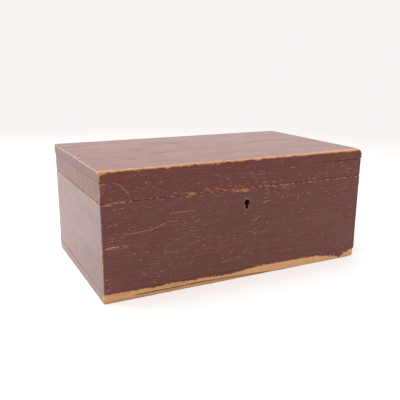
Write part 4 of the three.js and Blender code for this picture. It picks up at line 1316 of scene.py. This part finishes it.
def inner_wood(m, p, look):
    """The unpainted inside of the boards, stained, and sooty round the keyhole."""
    x, y, z = p.x, p.y, p.z
    aged = grain(m, p.along + 300, p.across, z, 1.3)
    stain = m.noise(x / 30 + 70, y / 30, z / 30, 4, 0.65)
    inner = m.mix(aged.rise(0.15, 0.95), look.inside_dark, look.inside)
    inner = m.mix(stain.rise(0.5, 0.8) * 0.5, inner, (0.12, 0.06, 0.028))
    keyhole = ellipse(x, z, (KEY[0], KEY[2] - 1.5), (1, 1))
    # painted shade: the keyhole's walls through the front board are made nearly black
    keyhole_shade = keyhole.fall(60, 90) * y.fall(-HALF_Y + 9, -HALF_Y + 9.6)
    return m.mix(keyhole_shade, inner, (0.012, 0.008, 0.006))


@once
def red_paint(lengthwise):
    """Red-brown milk paint on pine, with its grain along X or Y: dulled in clouds and streaks, smudged,
    scratched and flecked, rubbed orange and then bare along the arrises and in patches, bare below a ragged
    line along the front's foot, and dark in the joints. Wood deeper than a coat of paint is the unpainted
    inside."""
    look = bpy.context.scene.caddy_paint
    m = Finish(f"red_paint_{lengthwise.lower()}")
    p = painted_place(m, lengthwise)
    x, y, z = p.x, p.y, p.z
    wear = paint_wear(m, p)
    thin = wear.rise(0.36, 0.56) * p.painted
    bare_foot, foot_edge = front_foot(m, p)
    bare = wear.rise(0.62, 0.76).most(bare_foot)
    marks = paint_marks(m, p, look.flecks)

    coat, mottle, smudge = paint_coat(m, p, look, thin)
    outer = m.mix(marks * (1 - bare), coat, look.scratch)
    outer = m.mix(bare, outer, worn_wood(m, p, look, foot_edge))
    joint = abs(z - TOP[0][2]).fall(0.3, 0.65) * p.on_left
    in_seam = p.seam.fall(0.16, 0.42) * (1 - p.dashes * x.fall(20, 60))
    crevice = in_seam.most(p.seam.fall(0.35, 0.7) * p.on_left, joint)
    outer = m.mix(crevice * 0.8, outer, (0.02, 0.009, 0.007))
    round_key = ellipse(x, z, (KEY[0], KEY[2] - 1.7), (3.7, 5.6))
    rim = round_key.fall(1.1, 2.0) * p.on_front * p.blot.rise(0.3, 0.6)
    outer = m.mix(rim * 0.22, outer, (0.30, 0.22, 0.18))
    end_grain = z.rise(TOP[0][2] - 0.1, TOP[0][2] + 0.1) * (TOP[1][0] - abs(x)).fall(0.4, 0.8)
    pits, pit_chance = m.cells(p.along / 1.1, y / 1.1, z / 1.1)
    pitted = pits.fall(0.2, 0.45) * pit_chance.rise(0.4, 0.6)
    outer = m.mix(end_grain * (0.22 + pitted * 0.4), outer, (0.05, 0.017, 0.013))
    base = m.mix(p.painted, inner_wood(m, p, look), outer)

    roughness = (look.roughness - 0.06 + p.cloud * 0.08 + p.bands.rise(0.4, 0.7) * 0.05 + bare * 0.2
                 + thin * 0.08 + end_grain * pitted * 0.1 + (1 - p.painted) * 0.3 + marks * 0.15
                 + mottle * 0.09 + smudge * 0.1 + crevice * 0.45)
    # the height is worked out three times over, so it keeps to a few short chains
    height = p.streak * 0.035 + p.bands * 0.1 + p.fleck * 0.012 - p.hair.rise(0.67, 0.75) * 0.03
    return m.done(base, roughness, height, **{"Specular IOR Level": 0.35})


@once
def bare_pine(lengthwise):
    """Unpainted pine gone brown inside the box, with its grain along X or Y, stains and thumbed arrises."""
    look = bpy.context.scene.caddy_paint
    m = Finish(f"bare_pine_{lengthwise.lower()}")
    x, y, z = m.place()
    along, across = (x, y) if lengthwise == "X" else (y, x)
    ring = grain(m, along, across, z)
    stain = m.noise(x / 24, y / 24 + 8, z / 24, 4, 0.65)
    spots, chance = m.cells(x / 14, y / 14, z / 14)
    tint = m.mix(ring.rise(0.1, 0.95), look.inside_dark, look.inside)
    tint = m.mix(stain.rise(0.35, 0.75) * 0.5, tint, (0.40, 0.23, 0.11))
    tint = m.mix(spots.fall(0.03, 0.09) * chance.rise(0.5, 0.6) * 0.8, tint, (0.05, 0.025, 0.015))
    return m.done(tint, 0.58 + stain * 0.16, ring * 0.06 + stain * 0.05)


@once
def tea_foil():
    """Tea foil: soft grey metal, creased, with brown dust in the hollows."""
    look = bpy.context.scene.caddy_fittings
    m = Finish("tea_foil")
    x, y, z = m.place()
    fold, _ = m.cells(x / 9, y / 9, z / 9)
    small, _ = m.cells(x / 3 + 4, y / 3, z / 3)
    cloud = m.noise(x / 18, y / 18, z / 18, 4, 0.6)
    dirt = (cloud.rise(0.48, 0.72) * 0.6 + z.fall(10, 24) * 0.35).maths("MINIMUM", 0.85)
    tint = m.mix(fold.rise(0.2, 0.8) * 0.4, look.foil, (0.52, 0.52, 0.52))
    tint = m.mix(dirt, tint, look.stain)
    return m.done(tint, 0.34 + cloud * 0.2 + dirt * 0.3, fold * 0.5 + small * 0.16, (1 - dirt) * 0.95)


@once
def aged_brass():
    """Brass that has gone brown in clouds and is scratched bright."""
    look = bpy.context.scene.caddy_fittings
    m = Finish("aged_brass")
    x, y, z = m.place()
    cloud = m.noise(x / 11, y / 11, z / 11, 4, 0.55)
    line = m.noise(x / 9, y / 0.35, z / 0.35, 2, 0.5)
    pit = m.noise(x / 0.8, y / 0.8, z / 0.8, 2, 0.5)
    dull = cloud.rise(0.3, 0.62)
    tint = m.mix(dull * 0.8, look.brass, look.tarnish)
    tint = m.mix(line.rise(0.66, 0.74) * 0.6, tint, (0.62, 0.44, 0.19))
    return m.done(tint, 0.26 + dull * 0.3, pit * 0.02 - line.rise(0.66, 0.74) * 0.01, 1.0)


@once
def dark_iron():
    """Dark iron with rust in patches and a hammered skin."""
    look = bpy.context.scene.caddy_fittings
    m = Finish("dark_iron")
    x, y, z = m.place()
    cloud = m.noise(x / 4 + 2, y / 4, z / 4, 5, 0.7)
    skin = m.noise(x / 1.3, y / 1.3, z / 1.3, 3, 0.6)
    rusty = cloud.rise(0.46, 0.6)
    tint = m.mix(rusty * 0.9, look.iron, look.rust)
    return m.done(tint, 0.42 + rusty * 0.4, skin * 0.06 + rusty * 0.05, 1 - rusty)


@once
def turned_wood():
    """Dark polished hardwood with fine rings round the turning and a thin coat of old polish."""
    look = bpy.context.scene.caddy_fittings
    m = Finish("turned_wood")
    x, y, z = m.place()
    ring = m.noise(x / 2.2, y / 12, z / 2.2, 4, 0.6)
    pore = m.noise(x / 0.35, y / 5, z / 0.35, 2, 0.5)
    worn_polish = m.noise(x / 5, y / 5, z / 5, 3, 0.6)
    tint = m.mix(ring.rise(0.35, 0.7), look.turned, (0.13, 0.05, 0.024))
    tint = m.mix(pore.rise(0.64, 0.72) * 0.7, tint, (0.02, 0.008, 0.005))
    return m.done(tint, 0.24 + worn_polish * 0.16, ring * 0.03 - pore.rise(0.64, 0.72) * 0.03, 0.0,
                  **{"Coat Weight": 0.35, "Coat Roughness": 0.18})


# ---------------------------------------------------------------- stage


def make_floor(look):
    """A pale floor, plain near the caddy, that melts into the backdrop's colour further out."""
    m = Finish("floor")
    x, y, z = m.place()
    reach = (x * x + y * y).maths("POWER", 0.5)
    cloth = m.noise(x / 60, y / 60, z, 2, 0.5)
    tint = m.mix(cloth * 0.03, look.floor, (0.8, 0.79, 0.785))
    plain = m.node("BsdfPrincipled", {"Base Color": tint, "Roughness": 0.9, "Specular IOR Level": 0.1,
                                      "Emission Color": (*look.backdrop, 1.0), "Emission Strength": 0.1})
    air = m.node("Emission", {"Color": (*look.backdrop, 1.0), "Strength": look.ambient})
    blend = m.node("MixShader", {0: reach.rise(-700, 1400), 1: plain.outputs[0], 2: air.outputs[0]})
    m.node("OutputMaterial", {"Surface": blend.outputs[0]})
    turn = np.linspace(0, 2 * np.pi, 97)[:-1]
    rings = np.array([0.35, 0.8, 1.6, 3.0, 6.0])
    flat = np.stack([np.outer(rings, np.cos(turn)), np.outer(rings, np.sin(turn)),
                     np.zeros((5, 96))], axis=-1)
    points = np.concatenate([[[0, 0, 0]], flat.reshape(-1, 3)])
    index = 1 + np.arange(5 * 96).reshape(5, 96)
    inner = np.stack([np.zeros(96, int), index[0], np.roll(index[0], -1)], axis=1)
    outer = [np.stack([index[k], index[k + 1], np.roll(index[k + 1], -1), np.roll(index[k], -1)], axis=1)
             for k in range(4)]
    mesh = bpy.data.meshes.new("floor")
    mesh.from_pydata(points.tolist(), [], [*inner.tolist(), *np.concatenate(outer).tolist()])
    mesh.materials.append(m.material)
    floor = bpy.data.objects.new("floor", mesh)
    bpy.context.scene.collection.objects.link(floor)


def softbox(name, place, towards, size, power, warmth=(1, 1, 1)):
    """A square softbox at a place, facing a point, that the camera itself doesn't see."""
    light = bpy.data.lights.new(name, "AREA")
    light.shape = "RECTANGLE"
    light.size, light.size_y = size
    light.energy = power
    light.color = warmth
    lamp = bpy.data.objects.new(name, light)
    bpy.context.scene.collection.objects.link(lamp)
    lamp.location = place
    lamp.rotation_euler = (Vector(towards) - Vector(place)).to_track_quat("-Z", "Y").to_euler()
    lamp.visible_camera = False


def make_camera(look):
    """The camera: right, up and back directions from the angles, rolled, aimed beside the middle of the
    box."""
    azimuth, elevation = look.azimuth, look.elevation
    back = Vector((math.sin(azimuth) * math.cos(elevation), -math.cos(azimuth) * math.cos(elevation),
                   math.sin(elevation)))
    level = Vector((math.cos(azimuth), math.sin(azimuth), 0))
    up = back.cross(level)
    cosine, sine = math.cos(look.roll), math.sin(look.roll)
    right, up = cosine * level + sine * up, cosine * up - sine * level
    data = bpy.data.cameras.new("camera")
    data.sensor_width = 36
    data.lens = look.lens
    data.clip_start, data.clip_end = 0.01, 50
    camera = bpy.data.objects.new("camera", data)
    bpy.context.scene.collection.objects.link(camera)
    middle_of_box = (Vector(CAD_BOX[0]) + Vector(CAD_BOX[1])) / 2
    place = middle_of_box + right * look.aim_right + up * look.aim_up + back * look.distance
    turn = Matrix((right, up, back)).transposed().to_4x4()
    camera.matrix_world = Matrix.Translation(place) @ turn
    bpy.context.scene.camera = camera


# ---------------------------------------------------------------- operators and panel


class CaddyStep:
    """What the operators share. An error in one stops the script."""

    bl_options = {"REGISTER"}


class CADDY_OT_body_boards(CaddyStep, bpy.types.Operator):
    """Make the bottom board and the four walls"""

    bl_idname = "caddy.body_boards"
    bl_label = "Box boards"

    def execute(self, context):
        make_body_boards(shape())
        return {"FINISHED"}


class CADDY_OT_lid_boards(CaddyStep, bpy.types.Operator):
    """Make the lid's top board and rails"""

    bl_idname = "caddy.lid_boards"
    bl_label = "Lid boards"

    def execute(self, context):
        make_lid_boards(shape())
        return {"FINISHED"}


class CADDY_OT_compartments(CaddyStep, bpy.types.Operator):
    """Make the partitions and the ledge strips"""

    bl_idname = "caddy.compartments"
    bl_label = "Partitions and ledges"

    def execute(self, context):
        make_compartments()
        return {"FINISHED"}


class CADDY_OT_linings(CaddyStep, bpy.types.Operator):
    """Make the foil linings"""

    bl_idname = "caddy.linings"
    bl_label = "Foil linings"

    def execute(self, context):
        make_linings()
        return {"FINISHED"}


class CADDY_OT_inner_lids(CaddyStep, bpy.types.Operator):
    """Make the inner lids and their knobs"""

    bl_idname = "caddy.inner_lids"
    bl_label = "Inner lids and knobs"

    def execute(self, context):
        make_inner_lids()
        make_knobs()
        return {"FINISHED"}


class CADDY_OT_hinges(CaddyStep, bpy.types.Operator):
    """Make the hinge leaves and pins"""

    bl_idname = "caddy.hinges"
    bl_label = "Hinges"

    def execute(self, context):
        make_hinges()
        return {"FINISHED"}


class CADDY_OT_lock(CaddyStep, bpy.types.Operator):
    """Make the lock plate and hook plate, and finish the works behind them"""

    bl_idname = "caddy.lock"
    bl_label = "Lock"

    def execute(self, context):
        make_lock()
        return {"FINISHED"}


class CADDY_OT_fasteners(CaddyStep, bpy.types.Operator):
    """Make the screws and nails"""

    bl_idname = "caddy.fasteners"
    bl_label = "Screws and nails"

    def execute(self, context):
        make_screws()
        make_nails()
        return {"FINISHED"}


class CADDY_OT_stage(CaddyStep, bpy.types.Operator):
    """Make the floor, the lights and the camera"""

    bl_idname = "caddy.stage"
    bl_label = "Stage"

    def execute(self, context):
        look = context.scene.caddy_stage
        scene = context.scene
        scene.view_settings.view_transform = "Standard"
        world = bpy.data.worlds.new("studio")
        world.use_nodes = True
        background = world.node_tree.nodes["Background"]
        background.inputs["Color"].default_value = (*look.backdrop, 1.0)
        background.inputs["Strength"].default_value = look.ambient
        scene.world = world
        make_floor(look)
        aim = (0, 0, 0.06)
        softbox("back_softbox", (0.55, 1.3, 0.62), aim, (1.5, 0.7), look.back_light)
        softbox("left_softbox", (-1.15, 1.15, 0.5), aim, (1.3, 0.9), look.left_light)
        softbox("overhead_softbox", (-0.1, 0.05, 1.4), aim, (1.4, 1.4), look.top_light)
        make_camera(look)
        return {"FINISHED"}


STEPS = (CADDY_OT_stage, CADDY_OT_body_boards, CADDY_OT_lid_boards, CADDY_OT_compartments, CADDY_OT_linings,
         CADDY_OT_inner_lids, CADDY_OT_hinges, CADDY_OT_lock, CADDY_OT_fasteners)
GROUPS = {"caddy_shape": CaddyShape, "caddy_paint": CaddyPaint, "caddy_fittings": CaddyFittings,
          "caddy_stage": CaddyStage}


class CADDY_PT_panel(bpy.types.Panel):
    """Lists the steps that make the caddy, and what may be changed before them"""

    bl_idname = "CADDY_PT_panel"
    bl_label = "Tea caddy"
    bl_space_type = "VIEW_3D"
    bl_region_type = "UI"
    bl_category = "Tea caddy"

    def draw(self, context):
        for step in STEPS:
            self.layout.operator(step.bl_idname)
        for name, group in GROUPS.items():
            box = self.layout.box()
            box.label(text=name.replace("_", " ").capitalize())
            for field in group.__annotations__:
                box.prop(getattr(context.scene, name), field)


def register():
    for group in GROUPS.values():
        bpy.utils.register_class(group)
    for name, group in GROUPS.items():
        setattr(bpy.types.Scene, name, PointerProperty(type=group))
    for step in (*STEPS, CADDY_PT_panel):
        bpy.utils.register_class(step)


def unregister():
    for step in (CADDY_PT_panel, *reversed(STEPS)):
        bpy.utils.unregister_class(step)
    for name in GROUPS:
        delattr(bpy.types.Scene, name)
    for group in reversed(GROUPS.values()):
        bpy.utils.unregister_class(group)


def main():
    """Registers the add-on, runs its steps in order and writes the CAD model's box and the visual one's."""
    register()
    for step in STEPS:
        group, name = step.bl_idname.split(".")
        getattr(getattr(bpy.ops, group), name)()


if __name__ == "__main__":
    main()
